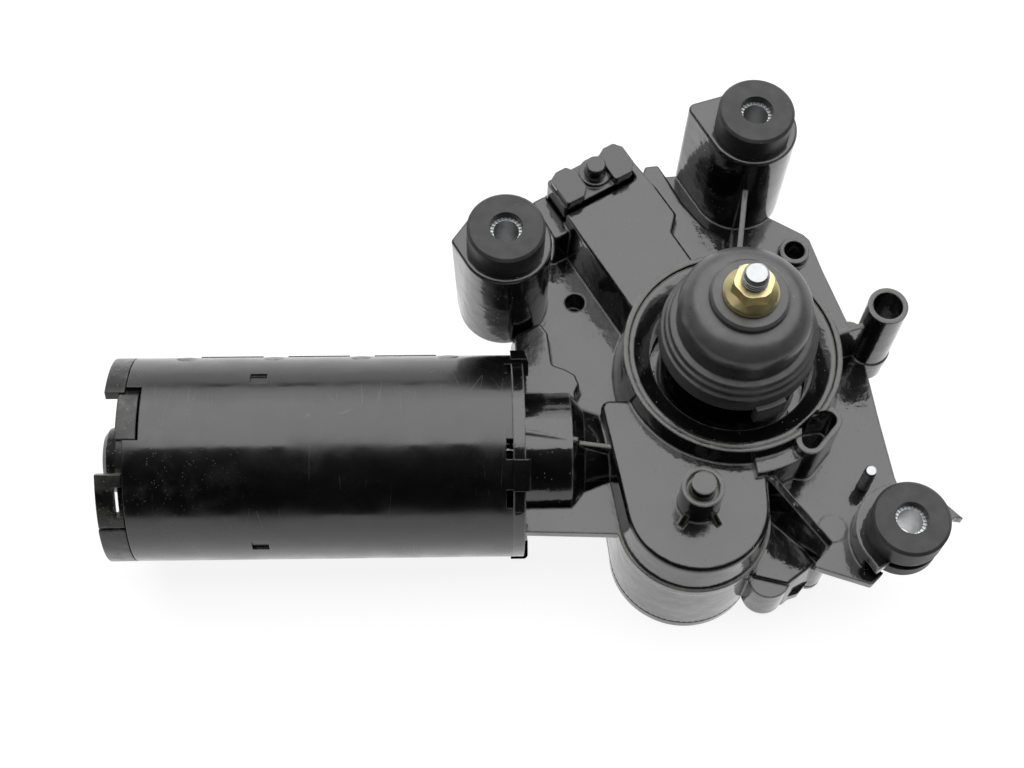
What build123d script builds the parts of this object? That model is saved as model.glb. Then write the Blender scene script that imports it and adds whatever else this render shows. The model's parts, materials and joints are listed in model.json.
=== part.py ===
from build123d import *
import math
import os

# Windscreen wiper motor: a permanent magnet motor drives a two-start worm, a worm wheel with
# its pinion, and the gear on the output shaft. Millimetres. +Z runs up the output shaft, and
# the origin lies on that shaft's axis, where its thread leaves the nut. The motor lies along
# X, and its axis passes in front of the output shaft, below the mounting plate.

# Heights, measured down from the origin
plateDrop = 71.0          # to the top face of the mounting plate
motorDrop = 75.0          # to the motor and worm axis

# Heights above the plate
collarRise = 22.4
domeRise = 14.0
bayRise = 21.4
slabRise = 8.0
towerRise = 42.4
lowEarRise = 10.0
postRise = 28.0
tubeRise = 31.0
smallBossRise = 3.0
studRise = 13.5

# Motor
canRadius = 34.0
canWall = 1.8
canRearX = -198.4
canFrontX = -74.0
flangeFrontX = -70.0
noseRadius = 21.2
noseEndX = -52.8
capLegDepth = 3.2
capLegs = (               # each leg of the end cap: first angle, sweep, reach past the can
    (20.0, 53.5, 6.8),
    (121.0, 32.0, 8.7),
    (155.0, 50.0, 8.9),
    (262.0, 50.0, 6.8),
)
legGapStart = 128.0
legGapSweep = 18.0
notchDepth = 5.0
notchAngle = 86.0
notchSweep = 33.0
tabAngles = (41.7, 123.4, 221.7, 303.4)
tabSweep = 17.0
reliefSweep = 11.0        # cut-outs in the can beside each bent tab
reliefDepth = 2.2
lanceAngles = (63.0, 170.0, 276.0)
lanceX = -159.0
bulgeRadius = 11.5
bulgeReach = 9.2
magnetThickness = 4.2
airGap = 0.7
coreRearX = -178.0
coreLength = 62.0
coreSlots = 12
slotDepth = 11.0
slotWidth = 4.6
windingReach = 9.0
commutatorRadius = 12.5
commutatorLength = 17.0
commutatorX = -103.0
brushPlateX = -90.0
brushPlateThick = 3.0
brushWidth = 8.0
brushDepth = 6.0
brushLength = 11.0
brushBoxWall = 0.7
brushPlay = 0.1
brushSpringRadius = 2.0
springWire = 0.6
springTurns = 4
brushBoxGap = 0.8         # from a brush box's back to the can
shaftRadius = 4.0
shaftRearX = -206.0
shaftFrontX = 7.0
frontBearingRadius = 9.5
frontBearingLength = 9.0
rearBearingRadius = 8.0
thrustRadius = 3.4

# Gears
wormModule = 1.0
wormStarts = 2
wormPitchRadius = 4.8
wormLength = 26.0
wheelTeeth = 40
wheelFace = 9.0
wheelHubRadius = 8.5
wheelHubReach = 6.0
spurModule = 1.75
pinionTeeth = 15
gearTeeth = 45
gearFace = 9.0
gearHubRadius = 10.5
idlerX = -14.0
backlash = 0.25
pressureAngle = 20.0

# Output shaft, nut and boot
outputRadius = 5.0
threadRadius = 4.0
threadRoot = 3.7
threadReach = 5.0
nutFlats = 12.0
nutFlangeRadius = 8.95
nutHeight = 8.0
nutTurn = 7.0
bootTopRadius = 12.7
bootTopHeight = 3.0
bootShoulderRadius = 21.7
bootShoulderDrop = 19.3
bootSkirtRadius = 25.8
bootSkirtDrop = 30.0
bootSkirtHeight = 10.0
bootWall = 2.2
bootTabAngle = -70.0

# Housing
plateThick = 3.6
wall = 3.0
caseDepth = 33.6          # from the plate's top face to the cover joint
collarRimRadius = 36.5
collarBaseRadius = 38.5
collarInnerRadius = 34.8
collarFloorRise = 3.0
discHole = 28.0
drainAngle = -48.0
drainWidth = 10.4
spoutWall = 1.8
ledgeRise = 17.0
ledgeReach = 42.2
pedestalRadius = 23.4
domeRadius = 23.5
domeFlangeRadius = 25.8
tunnelRadius = 10.0
tunnelEndX = 14.0
wormBoreRadius = 7.0
towerRadius = 15.3
earThick = 4.0
postRadius = 7.0
postRecessRadius = 5.4
postRecessDepth = 3.2
pinRadius = 4.0
pinStandOut = 3.0
tubeRadius = 6.7
tubeBoreRadius = 5.0
smallBossRadius = 5.3
smallBossBore = 3.7
smallBossDepth = 16.0
studRadius = 2.0
studShank = 1.7
studSink = 3.0
plainHoleRadius = 3.5
plainHoleDepth = 10.0
screwBossRadius = 5.0
screwRadius = 2.0
screwHeadRadius = 3.8
screwHeadHeight = 1.8
apronThick = 4.0
socketHeight = 5.0
coverPlateThick = 2.2
coverRimDepth = 1.4
ejectorRadius = 4.8
noseRibThick = 1.4
ejectorMark = 0.2
footHeight = 18.6         # screw feet in front of the case, above the cover joint
footRadii = (7.2, 5.0)
gasketThick = 0.8
ribThick = 2.6
gearRoom = 1.2            # from a gear's tips to the wall round it

# Mounting grommets
grommetRadius = 12.85
grommetTop = 10.0
grommetBottom = 6.0
grommetNeckRadius = 8.6
grommetBoreRadius = 5.4
sleeveBoreRadius = 4.2
sleeveSink = 3.4

# Fits
runClear = 0.05
looseClear = 0.3

# Places on the plate, from the output shaft's axis
towerLeft = (-75.4, 30.5)
towerBack = (9.6, 75.0)
earFront = (53.6, -59.1)
tubePlace = (51.4, 11.8)
smallBossPlace = (28.2, 49.0)
plainHolePlace = (-50.3, 30.2)
studPlace = (43.8, -39.9)
ejectorPlace = (32.0, -55.0)
bayStepRise = 16.0        # of the step between the bay and the back tower
bayAngle = 120.0
bayLeft = -20.0
bayRight = 15.0
bayFrontEnd = 73.0
bayRearEnd = 87.0
shelfDrop = 8.0
capLugRise = 5.6
capPinRadius = 3.5
capPinAlong = 81.0
capPinAcross = -3.2

# Derived heights, radii and centres
plateTop = -plateDrop
plateBottom = plateTop - plateThick
motorZ = -motorDrop
brushBoxReach = canRadius - canWall - brushBoxGap
caseBottom = plateTop - caseDepth
coverTop = caseBottom - gasketThick
rimZ = plateTop + collarRise
domeTop = plateTop + domeRise
bayTop = plateTop + bayRise
towerTop = plateTop + towerRise
lowEarTop = plateTop + lowEarRise
postTop = plateTop + postRise
collarFloor = plateTop + collarFloorRise
pinionPitchRadius = spurModule * pinionTeeth / 2
gearPitchRadius = spurModule * gearTeeth / 2
spurDistance = pinionPitchRadius + gearPitchRadius
idlerY = -math.sqrt(spurDistance ** 2 - idlerX ** 2)
idler = (idlerX, idlerY)
wheelPitchRadius = wormModule * wheelTeeth / 2
motorY = idlerY + wheelPitchRadius + wormPitchRadius
wheelOuterRadius = wheelPitchRadius + wormModule
gearOuterRadius = gearPitchRadius + 0.9 * spurModule
wheelRoom = wheelOuterRadius + 0.6
gearRoomRadius = gearOuterRadius + gearRoom
caseRadius = gearRoomRadius + wall
gearTop = motorZ - tunnelRadius - 2.5
gearBottom = gearTop - gearFace
wheelBottom = motorZ - wheelFace / 2
wheelTop = motorZ + wheelFace / 2
shaftBossRadius = outputRadius + 6.0
bushRadius = outputRadius + 2.5
bushLength = 13.0
bearingTop = -bootShoulderDrop - 4.0
bearingBottom = motorZ - tunnelRadius
pedestalTop = -bootSkirtDrop - 4.0
bootBore = outputRadius + looseClear
shaftBottom = gearBottom - 3.6
clipTop = gearBottom - 0.7
clipBottom = clipTop - 1.2
coverPlateBottom = coverTop - coverPlateThick
coverBottom = coverPlateBottom - coverRimDepth
footPlaces = [(12.5, -66.0), (29.0, -58.5)]
wallScrewPlaces = [(-48.0, motorY + 1.0)] + [
    (math.cos(math.radians(a)) * (caseRadius + 4.5), math.sin(math.radians(a)) * (caseRadius + 4.5))
    for a in (22.0, 75.0, 148.0)
]
screwPlaces = footPlaces + wallScrewPlaces

onFoot = (Align.CENTER, Align.CENTER, Align.MIN)


def rod(radius, bottom, top, at=(0.0, 0.0)):
    """Upright cylinder between two heights."""
    return Pos(at[0], at[1], bottom) * Cylinder(radius, top - bottom, align=onFoot)


def motorRod(radius, rear, front):
    """Cylinder on the motor axis between two places along X."""
    return Pos(rear, motorY, motorZ) * Rot(0, 90, 0) * Cylinder(radius, front - rear, align=onFoot)


def motorPrism(face, rear, front):
    """Section drawn looking along X, made solid on the motor axis between two places."""
    return Pos(rear, motorY, motorZ) * (Plane.YZ * extrude(face, front - rear))


def slab(face, bottom, top):
    """Flat face drawn at height 0, made solid between two heights."""
    return extrude(Pos(0, 0, bottom) * face, top - bottom)


def outline(points, rounding=0.0):
    face = make_face(Polyline(*points, close=True))
    return fillet(face.vertices(), rounding) if rounding else face


def drafted(points, bottom, top, spread, rounding, edge):
    """Cast pad drawn at its top: its sides spread towards the foot, and its top edge is rounded."""
    crown = outline(points)
    foot = offset(crown, spread, kind=Kind.INTERSECTION)
    faces = [Pos(0, 0, z) * fillet(face.vertices(), rounding) for z, face in ((bottom, foot), (top, crown))]
    block = loft(faces)
    return fillet(block.faces().sort_by(Axis.Z)[-1].edges(), edge)


def turned(profile, at=(0.0, 0.0)):
    """Ring from (radius, height) points, turned about an upright axis."""
    face = make_face(Plane.XZ * Polyline(*profile, close=True))
    return Pos(at[0], at[1], 0) * revolve(face, Axis.Z)


def disc(radius, at=(0.0, 0.0)):
    return Pos(at[0], at[1]) * Circle(radius)


def hullOf(*discs):
    """Face stretched round two or more discs given as (radius, place)."""
    aside = Rot(0, 0, 90)
    return Rot(0, 0, -90) * make_hull([(aside * disc(radius, at)).edge() for radius, at in discs])


def polar(radius, degrees):
    return (radius * math.cos(math.radians(degrees)), radius * math.sin(math.radians(degrees)))


def bayPoint(along, across):
    """Place in the switch bay, from its distance out along the bay and across it."""
    direction = math.radians(bayAngle)
    return (along * math.cos(direction) + across * math.sin(direction),
            along * math.sin(direction) - across * math.cos(direction))


def bayOutline(rows, rounding=0.0):
    return outline([bayPoint(along, across) for along, across in rows], rounding)


def rib(start, end, startTop, endTop, bottom, thick=ribThick):
    """Upright web between two places, its top edge sloping from one height to the other."""
    length = math.dist(start, end)
    turn = math.degrees(math.atan2(end[1] - start[1], end[0] - start[0]))
    side = make_face(Plane.XZ * Polyline((0, bottom), (length, bottom), (length, endTop),
                                         (0, startTop), close=True))
    return Pos(start[0], start[1], 0) * Rot(0, 0, turn) * extrude(side, thick / 2, both=True)


# ---------------------------------------------------------------- gear teeth
def involute(baseRadius, radius):
    """Angle by which an involute flank has leaned over at a radius."""
    lean = math.sqrt(max((radius / baseRadius) ** 2 - 1, 0.0))
    return lean - math.atan(lean)


def spurFace(teeth, module, toothCentre):
    """Involute gear outline with one tooth centred on an angle in degrees."""
    pitch = module * teeth / 2
    base = pitch * math.cos(math.radians(pressureAngle))
    tip = pitch + 0.9 * module
    root = pitch - 1.25 * module
    halfPitchAngle = (math.pi * module / 2 - backlash) / (2 * pitch)
    halfBase = halfPitchAngle + involute(base, pitch)
    flankStart = max(base, root + 0.1 * module)
    radii = [flankStart + (tip - flankStart) * step / 3 for step in range(4)]
    angles = [halfBase - involute(base, radius) for radius in radii]
    blank = disc(root)
    right = [(r * math.cos(-a), r * math.sin(-a)) for r, a in zip(radii, angles)]
    left = [(r * math.cos(a), r * math.sin(a)) for r, a in zip(radii, angles)]
    inner = 0.9 * root
    foot = [(inner * math.cos(a), inner * math.sin(a)) for a in (-angles[0], angles[0])]
    tooth = make_face([
        Line(foot[0], right[0]), Spline(*right), Line(right[-1], left[-1]),
        Spline(*reversed(left)), Line(left[0], foot[1]), Line(foot[1], foot[0]),
    ])
    return blank + [Rot(0, 0, toothCentre + 360 * n / teeth) * tooth for n in range(teeth)]


def wormThread(startTurn):
    """One start of the worm's trapezoid thread, about the Z axis and centred on z = 0.

    With no start turn, the middle of the thread faces -Y, where the wheel's gap meets it.
    """
    lead = math.pi * wormModule * wormStarts
    root = wormPitchRadius - 1.2 * wormModule
    tip = wormPitchRadius + wormModule
    slope = math.tan(math.radians(pressureAngle))
    halfPitch = (math.pi * wormModule / 2 - backlash) / 2
    sink = 0.3
    path = Helix(pitch=lead, height=wormLength - lead, radius=root)
    halfRoot = halfPitch + (wormPitchRadius - root + sink) * slope
    halfTip = halfPitch - (tip - wormPitchRadius) * slope
    section = make_face(Plane.XZ * Polyline(
        (root - sink, -halfRoot), (tip, -halfTip), (tip, halfTip), (root - sink, halfRoot), close=True))
    thread = sweep(section, path=path, is_frenet=True)
    halfTurn = 360 * (wormLength - lead) / 2 / lead
    return Rot(0, 0, startTurn - 90 - halfTurn) * Pos(0, 0, -(wormLength - lead) / 2) * thread


def wormWheelFace():
    """Tooth outline of the worm wheel, a gap facing the worm in the +Y direction."""
    tip = wheelPitchRadius + 0.9 * wormModule
    root = wheelPitchRadius - 1.2 * wormModule
    slope = math.tan(math.radians(pressureAngle))
    halfPitch = (math.pi * wormModule / 2 - backlash) / 2
    rows = [(root - 0.5, halfPitch + 1.7 * wormModule * slope), (tip, halfPitch - 0.9 * wormModule * slope)]
    tooth = outline([(rows[0][0], -rows[0][1]), (rows[1][0], -rows[1][1]),
                     (rows[1][0], rows[1][1]), (rows[0][0], rows[0][1])])
    turn = 360 / wheelTeeth
    return disc(root) + [Rot(0, 0, 90 + turn * (n + 0.5)) * tooth for n in range(wheelTeeth)]


# ---------------------------------------------------------------- motor
def canArc(inner, outer, rear, front, startAngle, sweepAngle):
    """Curved strip of a tube about the motor axis. 0 degrees points to +Y, 90 to +Z."""
    half = sweepAngle / 2
    reach = 3 * outer
    steps = [startAngle + half + half * s for s in (-1, -0.5, 0, 0.5, 1)]
    fan = outline([(0, 0)] + [polar(reach, a) for a in steps])
    return (motorRod(outer, rear, front) - motorRod(inner, rear - 1, front + 1)) & motorPrism(fan, rear, front)


def yokeCan():
    """Rolled steel yoke: a tube with a notch at its rear end, lances, and reliefs beside its tabs."""
    inner = canRadius - canWall
    can = motorRod(canRadius, canRearX, canFrontX) - motorRod(inner, canRearX - 1, canFrontX + 1)
    can -= canArc(inner - 1, canRadius + 1, canRearX - 1, canRearX + notchDepth,
                  notchAngle - notchSweep / 2, notchSweep)
    for angle in tabAngles:
        for start in (angle - tabSweep / 2 - reliefSweep, angle + tabSweep / 2):
            can -= canArc(inner - 1, canRadius + 1, canFrontX - reliefDepth, canFrontX + 1, start, reliefSweep)
    for angle in lanceAngles:
        can -= canArc(canRadius - 0.9, canRadius + 1, lanceX, lanceX + 5.5, angle - 4, 8)
    return can


def lockingTabs():
    """Strips of the yoke's metal bent in over the gear housing's motor flange."""
    tabs = []
    for angle in tabAngles:
        start = angle - tabSweep / 2
        strip = canArc(canRadius, canRadius + canWall, canFrontX, flangeFrontX + canWall, start, tabSweep)
        hook = canArc(canRadius - 4.5, canRadius + canWall, flangeFrontX, flangeFrontX + canWall, start, tabSweep)
        tab = strip + hook
        bend = tab.faces().sort_by(Axis.X)[-1].edges().filter_by(GeomType.CIRCLE).sort_by(SortBy.RADIUS)[-1]
        tabs.append(fillet(bend, canWall - 0.3))
    return Compound(children=[t.solid() for t in tabs])


def endCap():
    """Pressed end cap with a bearing bulge and legs that stand out past the yoke."""
    inner = canRadius - canWall
    cap = motorRod(inner, canRearX - 2.4, canRearX + 4.0)
    cap -= motorRod(inner - canWall, canRearX - 0.6, canRearX + 5)
    bulge = make_face(Plane.XZ * Polyline(
        (0, 0), (0, bulgeRadius + 3.0), (-1.2, bulgeRadius + 0.8), (-bulgeReach + 2.0, bulgeRadius - 1.0),
        (-bulgeReach + 0.5, bulgeRadius - 3.0), (-bulgeReach, bulgeRadius - 6.0), (-bulgeReach, 0), close=True))
    cap += Pos(canRearX - 2.2, motorY, motorZ) * revolve(bulge, Axis.X)
    cap -= motorRod(rearBearingRadius, canRearX - 2.2 - bulgeReach + 2.4, canRearX)
    for start, sweepAngle, reach in capLegs:
        cap += canArc(canRadius - capLegDepth, canRadius, canRearX - reach, canRearX - 0.4, start, sweepAngle)
    cap -= canArc(canRadius - capLegDepth - 1, canRadius + 1, canRearX - 3.0, canRearX, legGapStart, legGapSweep)
    lugSweep = notchSweep - 5.0
    cap += canArc(canRadius - 4.0, canRadius - 0.7, canRearX - 2.4, canRearX + notchDepth - 0.9,
                  notchAngle + notchSweep / 2 - lugSweep - 0.6, lugSweep)
    for x in (-1, 1):
        cap -= Pos(canRearX - 2, motorY + 19 * x, motorZ - 9) * Rot(0, 90, 0) * Cylinder(3.2, 8)
    return cap


def magnet(side):
    """Ferrite arc magnet against the yoke's wall, on the +Y or -Y side."""
    middle = 90 - 90 * side
    outer = canRadius - canWall
    return canArc(outer - magnetThickness, outer, coreRearX - 3, coreRearX + coreLength + 3, middle - 62, 124)


def armatureShaft():
    """Steel shaft with the worm rolled on its front end."""
    middle = idlerX
    root = wormPitchRadius - 1.2 * wormModule
    ends = (middle - wormLength / 2, middle + wormLength / 2)
    profile = [
        (shaftRearX, 0), (shaftRearX, shaftRadius - 0.6), (shaftRearX + 0.6, shaftRadius),
        (ends[0] - 2, shaftRadius), (ends[0] - 1.2, root), (ends[1] + 1.2, root),
        (ends[1] + 1.8, shaftRadius), (shaftFrontX - 0.8, shaftRadius), (shaftFrontX, shaftRadius - 0.8),
        (shaftFrontX, 0),
    ]
    shaft = Pos(0, motorY, motorZ) * revolve(make_face(Plane.XZ * Polyline(*profile, close=True)), Axis.X)
    for n in range(wormStarts):
        shaft += Pos(middle, motorY, motorZ) * Rot(0, 90, 0) * wormThread(360 * n / wormStarts)
    return shaft


def armatureCore():
    """Laminated core with open slots."""
    radius = canRadius - canWall - magnetThickness - airGap
    core = disc(radius) - disc(shaftRadius)
    for n in range(coreSlots):
        turn = Rot(0, 0, 360 * (n + 0.5) / coreSlots)
        core -= turn * Pos(radius - slotDepth / 2 - 1.6, 0) * SlotOverall(slotDepth, slotWidth)
        core -= turn * Pos(radius, 0) * Rectangle(4.2, 1.8)
    return motorPrism(core, coreRearX, coreRearX + coreLength)


def armatureWinding():
    """Copper coils: a bundle in each slot, joined by the end turns at both ends of the core."""
    radius = canRadius - canWall - magnetThickness - airGap
    front = coreRearX + coreLength
    middleRadius = radius - slotDepth / 2 - 1.6
    head = [(0.0, middleRadius - 7.0), (0.0, middleRadius + 3.6), (windingReach * 0.55, middleRadius + 2.4),
            (windingReach, middleRadius - 2.0), (windingReach, middleRadius - 7.0)]
    coil = None
    for x, side in ((front + 0.3, 1), (coreRearX - 0.3, -1)):
        turns = revolve(make_face(Plane.XZ * Polyline(*[(side * a, r) for a, r in head], close=True)), Axis.X)
        coil = turns.moved(Pos(x, motorY, motorZ)) if coil is None else coil + Pos(x, motorY, motorZ) * turns
    bundle = SlotOverall(slotDepth - 0.8, slotWidth - 0.8)
    for n in range(coreSlots):
        place = Rot(0, 0, 360 * (n + 0.5) / coreSlots) * Pos(middleRadius, 0) * bundle
        coil += motorPrism(place, coreRearX - 1, front + 1)
    return coil


def commutator():
    ring = disc(commutatorRadius) - disc(shaftRadius)
    for n in range(coreSlots):
        ring -= Rot(0, 0, 360 * n / coreSlots) * Pos(commutatorRadius, 0) * Rectangle(1.6, 0.7)
    return motorPrism(ring, commutatorX, commutatorX + commutatorLength)


def bearing(outer, rear, front):
    """Sintered bush for the armature shaft."""
    return motorRod(outer, rear, front) - motorRod(shaftRadius + runClear, rear - 1, front + 1)


def brushPlate():
    """Insulating plate that carries the brush boxes."""
    plate = motorRod(canRadius - canWall - 0.4, brushPlateX, brushPlateX + brushPlateThick)
    plate -= motorRod(commutatorRadius + 2.5, brushPlateX - 1, brushPlateX + brushPlateThick + 1)
    for angle in (0, 180):
        plate -= Pos(0, motorY, motorZ) * Rot(angle, 0, 0) * Pos(brushPlateX, 22.0, 20.0) * Box(12, 5, 5)
    return plate


def brushPlaced(shape, angle):
    middle = brushPlateX - brushBoxWall - brushPlay - brushDepth / 2
    return Pos(middle, motorY, motorZ) * Rot(angle, 0, 0) * shape


def brush(angle):
    reach = commutatorRadius + 0.15 + brushLength / 2
    block = Pos(0, reach, 0) * Box(brushDepth, brushLength, brushWidth)
    return brushPlaced(block - Rot(0, 90, 0) * Cylinder(commutatorRadius + 0.15, 20), angle)


def brushBox(angle):
    """Folded brass guide round a brush, closed at the back, standing on the brush plate."""
    start = commutatorRadius + 3.0
    length = brushBoxReach - start
    around = brushPlay + brushBoxWall
    box = Pos(0, start + length / 2, 0) * Box(brushDepth + 2 * around, length, brushWidth + 2 * around)
    hole = Pos(0, start + length / 2 - brushBoxWall, 0) * Box(
        brushDepth + 2 * brushPlay, length, brushWidth + 2 * brushPlay)
    return brushPlaced(box - hole, angle)


def brushSpring(angle):
    """Compression spring of square wire behind a brush."""
    start = commutatorRadius + 0.15 + brushLength + springWire / 2
    length = brushBoxReach - brushBoxWall - springWire / 2 - start
    path = Helix(pitch=length / springTurns, height=length, radius=brushSpringRadius)
    wire = sweep(Plane(origin=path @ 0, z_dir=path % 0) * Rectangle(springWire, springWire),
                 path=path, is_frenet=True)
    return brushPlaced(Pos(0, start, 0) * Rot(-90, 0, 0) * wire, angle)


# ---------------------------------------------------------------- gear train
def wormWheel():
    """Moulded wheel with helical teeth, a thin web and a hub that runs on the fixed pin."""
    lean = wormModule * wormStarts / 2 / wormPitchRadius
    twist = math.degrees(wheelFace * lean / wheelPitchRadius)
    teeth = Solid.extrude_linear_with_rotation(
        wormWheelFace().face().outer_wire(), center=(0, 0, 0), normal=(0, 0, wheelFace), angle=twist)
    wheel = Pos(0, 0, wheelBottom) * Rot(0, 0, -twist / 2) * teeth
    web = wheelPitchRadius - 4.0
    wheel -= rod(web, wheelTop - 3.0, wheelTop + 1)
    wheel += rod(wheelHubRadius, wheelBottom, wheelTop + wheelHubReach)
    wheel -= rod(pinRadius + runClear, wheelBottom - 1, wheelTop + wheelHubReach + 1)
    return Pos(idlerX, idlerY, 0) * wheel


def meshAngle():
    """Direction from the idler to the output shaft, in degrees."""
    return math.degrees(math.atan2(-idlerY, -idlerX))


def wheelPinion():
    """Steel pinion under the worm wheel, in mesh with the output gear."""
    teeth = slab(spurFace(pinionTeeth, spurModule, meshAngle()), gearBottom, gearTop)
    collar = rod(pinionPitchRadius - 2.2 * spurModule, gearTop, wheelBottom)
    pinion = teeth + collar - rod(pinRadius + runClear, gearBottom - 1, wheelBottom + 1)
    return Pos(idlerX, idlerY, 0) * pinion


def outputGear():
    """Large gear with a thin web, six lightening holes and a long hub."""
    halfTooth = 180 / gearTeeth
    gear = slab(spurFace(gearTeeth, spurModule, meshAngle() + 180 + halfTooth), gearBottom, gearTop)
    rimInner = gearPitchRadius - 6.0
    gear -= rod(rimInner, gearTop - 2.6, gearTop + 1)
    gear -= rod(rimInner, gearBottom - 1, gearBottom + 2.6)
    gear += rod(gearHubRadius, gearBottom - 0.6, gearTop + 0.6)
    middle = (rimInner + gearHubRadius) / 2
    for n in range(6):
        gear -= rod(4.2, gearBottom, gearTop, polar(middle, 60 * n + 15))
    return gear - rod(outputRadius, gearBottom - 2, gearTop + 2)


def outputShaft():
    """Ground shaft with a threaded end, a seat for the nut and a flat under the gear's clip."""
    seat = -nutHeight
    return turned([
        (0, shaftBottom), (outputRadius - 0.6, shaftBottom), (outputRadius, shaftBottom + 0.6),
        (outputRadius, clipBottom), (outputRadius - 0.8, clipBottom), (outputRadius - 0.8, clipTop),
        (outputRadius, clipTop), (outputRadius, seat - 0.4), (outputRadius - 0.4, seat),
        (threadRoot, seat), (threadRoot, 0), (threadRadius, 0), (threadRadius, threadReach - 0.7),
        (threadRadius - 0.7, threadReach), (0, threadReach),
    ])


def shaftClip():
    """Open retaining ring in the groove below the gear."""
    ring = disc(outputRadius + 3.0) - disc(outputRadius - 0.8)
    ring -= Pos(outputRadius + 1.5, 0) * Rectangle(2 * outputRadius, 2.4)
    return slab(ring, clipBottom + 0.05, clipTop - 0.05)


def flangeNut():
    """Hexagon nut with a round flange, its corners chamfered at the top."""
    hexagon = slab(RegularPolygon(nutFlats / 2, 6, major_radius=False), 1.2 - nutHeight, 0)
    corner = nutFlats / 2 / math.cos(math.radians(30))
    crown = turned([(0, -nutHeight), (corner + 0.1, -nutHeight), (corner + 0.1, -0.55),
                    (nutFlats / 2 + 0.3, 0), (0, 0)])
    flange = turned([(0, -nutHeight), (nutFlangeRadius, -nutHeight), (nutFlangeRadius, 1.1 - nutHeight),
                     (nutFlangeRadius - 0.5, 1.6 - nutHeight), (nutFlats / 2, 3.2 - nutHeight),
                     (0, 3.2 - nutHeight)])
    return Rot(0, 0, nutTurn) * ((hexagon & crown) + flange - rod(threadRoot, -nutHeight - 1, 1))


def bush(bottom, length, flangeSide):
    """Flanged sintered bush for the output shaft."""
    body = rod(bushRadius, bottom, bottom + length)
    flangeBottom = bottom + length if flangeSide > 0 else bottom - 1.2
    body += rod(bushRadius + 2.0, flangeBottom, flangeBottom + 1.2)
    return body - rod(outputRadius + runClear, bottom - 2, bottom + length + 2)


def rubberBoot():
    """Stepped rubber boot clamped over the pedestal, with a locating tab on its skirt."""
    top = -nutHeight - looseClear
    step = top - bootTopHeight
    shoulder = -bootShoulderDrop
    skirt = -bootSkirtDrop
    foot = skirt - bootSkirtHeight
    ridges = [
        (bootShoulderRadius, shoulder), (bootShoulderRadius - 0.9, shoulder - 0.9),
        (bootShoulderRadius - 0.6, skirt + 2.4), (bootSkirtRadius - 2.6, skirt + 1.8),
        (bootSkirtRadius - 2.4, skirt), (bootSkirtRadius - 1.3, skirt - 0.5), (bootSkirtRadius - 1.2, skirt - 2.6),
        (bootSkirtRadius - 0.1, skirt - 3.1), (bootSkirtRadius, foot),
    ]
    outer = [
        Line((bootBore, top), (bootTopRadius - 0.8, top)),
        Line((bootTopRadius - 0.8, top), (bootTopRadius, top - 0.8)),
        Line((bootTopRadius, top - 0.8), (bootTopRadius, step)),
        Spline((bootTopRadius, step), (bootTopRadius + 4.8, step - 1.2), (bootShoulderRadius - 1.4, shoulder + 4.4),
               (bootShoulderRadius, shoulder), tangents=((1, -0.12), (0.05, -1))),
        *[Line(a, b) for a, b in zip(ridges, ridges[1:])],
        Line((bootSkirtRadius, foot), (pedestalRadius, foot)),
        Line((pedestalRadius, foot), (pedestalRadius, pedestalTop)),
        Line((pedestalRadius, pedestalTop), (pedestalRadius - 3.0, pedestalTop)),
        Line((pedestalRadius - 3.0, pedestalTop), (bootShoulderRadius - bootWall, shoulder)),
        Line((bootShoulderRadius - bootWall, shoulder), (bootTopRadius + 2.0, step - bootWall - 1.4)),
        Line((bootTopRadius + 2.0, step - bootWall - 1.4), (bootBore + 3.0, step - bootWall + 0.8)),
        Line((bootBore + 3.0, step - bootWall + 0.8), (bootBore, step - bootWall + 2.0)),
        Line((bootBore, step - bootWall + 2.0), (bootBore, top)),
    ]
    boot = revolve(make_face([Plane.XZ * edge for edge in outer]), Axis.Z)
    tab = Pos((bootSkirtRadius + 0.3), 0, foot - 2.2) * Box(3.4, 10.4, 8.6)
    tab &= rod(bootSkirtRadius + 1.6, foot - 8, skirt) - rod(pedestalRadius, foot - 9, skirt + 1)
    return boot + Rot(0, 0, bootTabAngle) * tab


def collarDisc():
    """Pressed ring that closes the collar: a sloping face and a skirt down round the boot."""
    outer = collarInnerRadius - 0.3
    return turned([
        (outer, rimZ - 0.9), (outer, rimZ - 3.4), (outer - 1.4, rimZ - 3.4), (outer - 1.4, rimZ - 2.6),
        (discHole + 1.2, rimZ - 4.6), (discHole, collarFloor + 4.0), (discHole - 1.4, collarFloor + 4.0),
        (discHole - 0.4, rimZ - 3.0), (outer - 1.4, rimZ - 0.9),
    ]) - discNotch()


def discNotch():
    """Drain notch through the collar's edge."""
    return Rot(0, 0, drainAngle) * Pos(collarInnerRadius + 2.2, 0, rimZ) * Box(7.0, drainWidth, 9.0)


def spoutFace(grow):
    """Rounded outline of the drain's pocket outside the collar, grown all round."""
    return hullOf((3.0 + grow, polar(38.6, drainAngle + 7.6)), (3.0 + grow, polar(39.8, drainAngle - 6.4)),
                  (3.0 + grow, polar(35.0, drainAngle)))


# ---------------------------------------------------------------- housing
def plateFace():
    """Outline of the mounting plate."""
    rearLeft = (canFrontX + 1.7, motorY + 39.8)
    frontLeft = (canFrontX + 3.2, motorY - 29.0)
    face = outline([
        frontLeft, (idlerX - 24.4, motorY - 30.2), (idlerX, motorY - 30.2), (9.0, -38.0), (31.0, -61.0),
        (24.2, -68.0), (43.2, -74.6), (47.0, -71.0), (56.2, -42.0), (54.8, -37.0), (51.8, -15.8),
        (49.3, 5.0), (46.6, 16.0), (38.0, 42.6), (34.6, 54.8), (32.6, 57.0), (19.0, 65.2),
        (-8.0, 82.0), (-24.0, 81.0), (-37.0, 79.0), (-56.0, 67.0), (-60.2, 40.0), rearLeft,
    ], 1.2)
    face += disc(domeFlangeRadius, idler) + disc(tubeRadius + 0.4, tubePlace)
    return face


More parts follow.
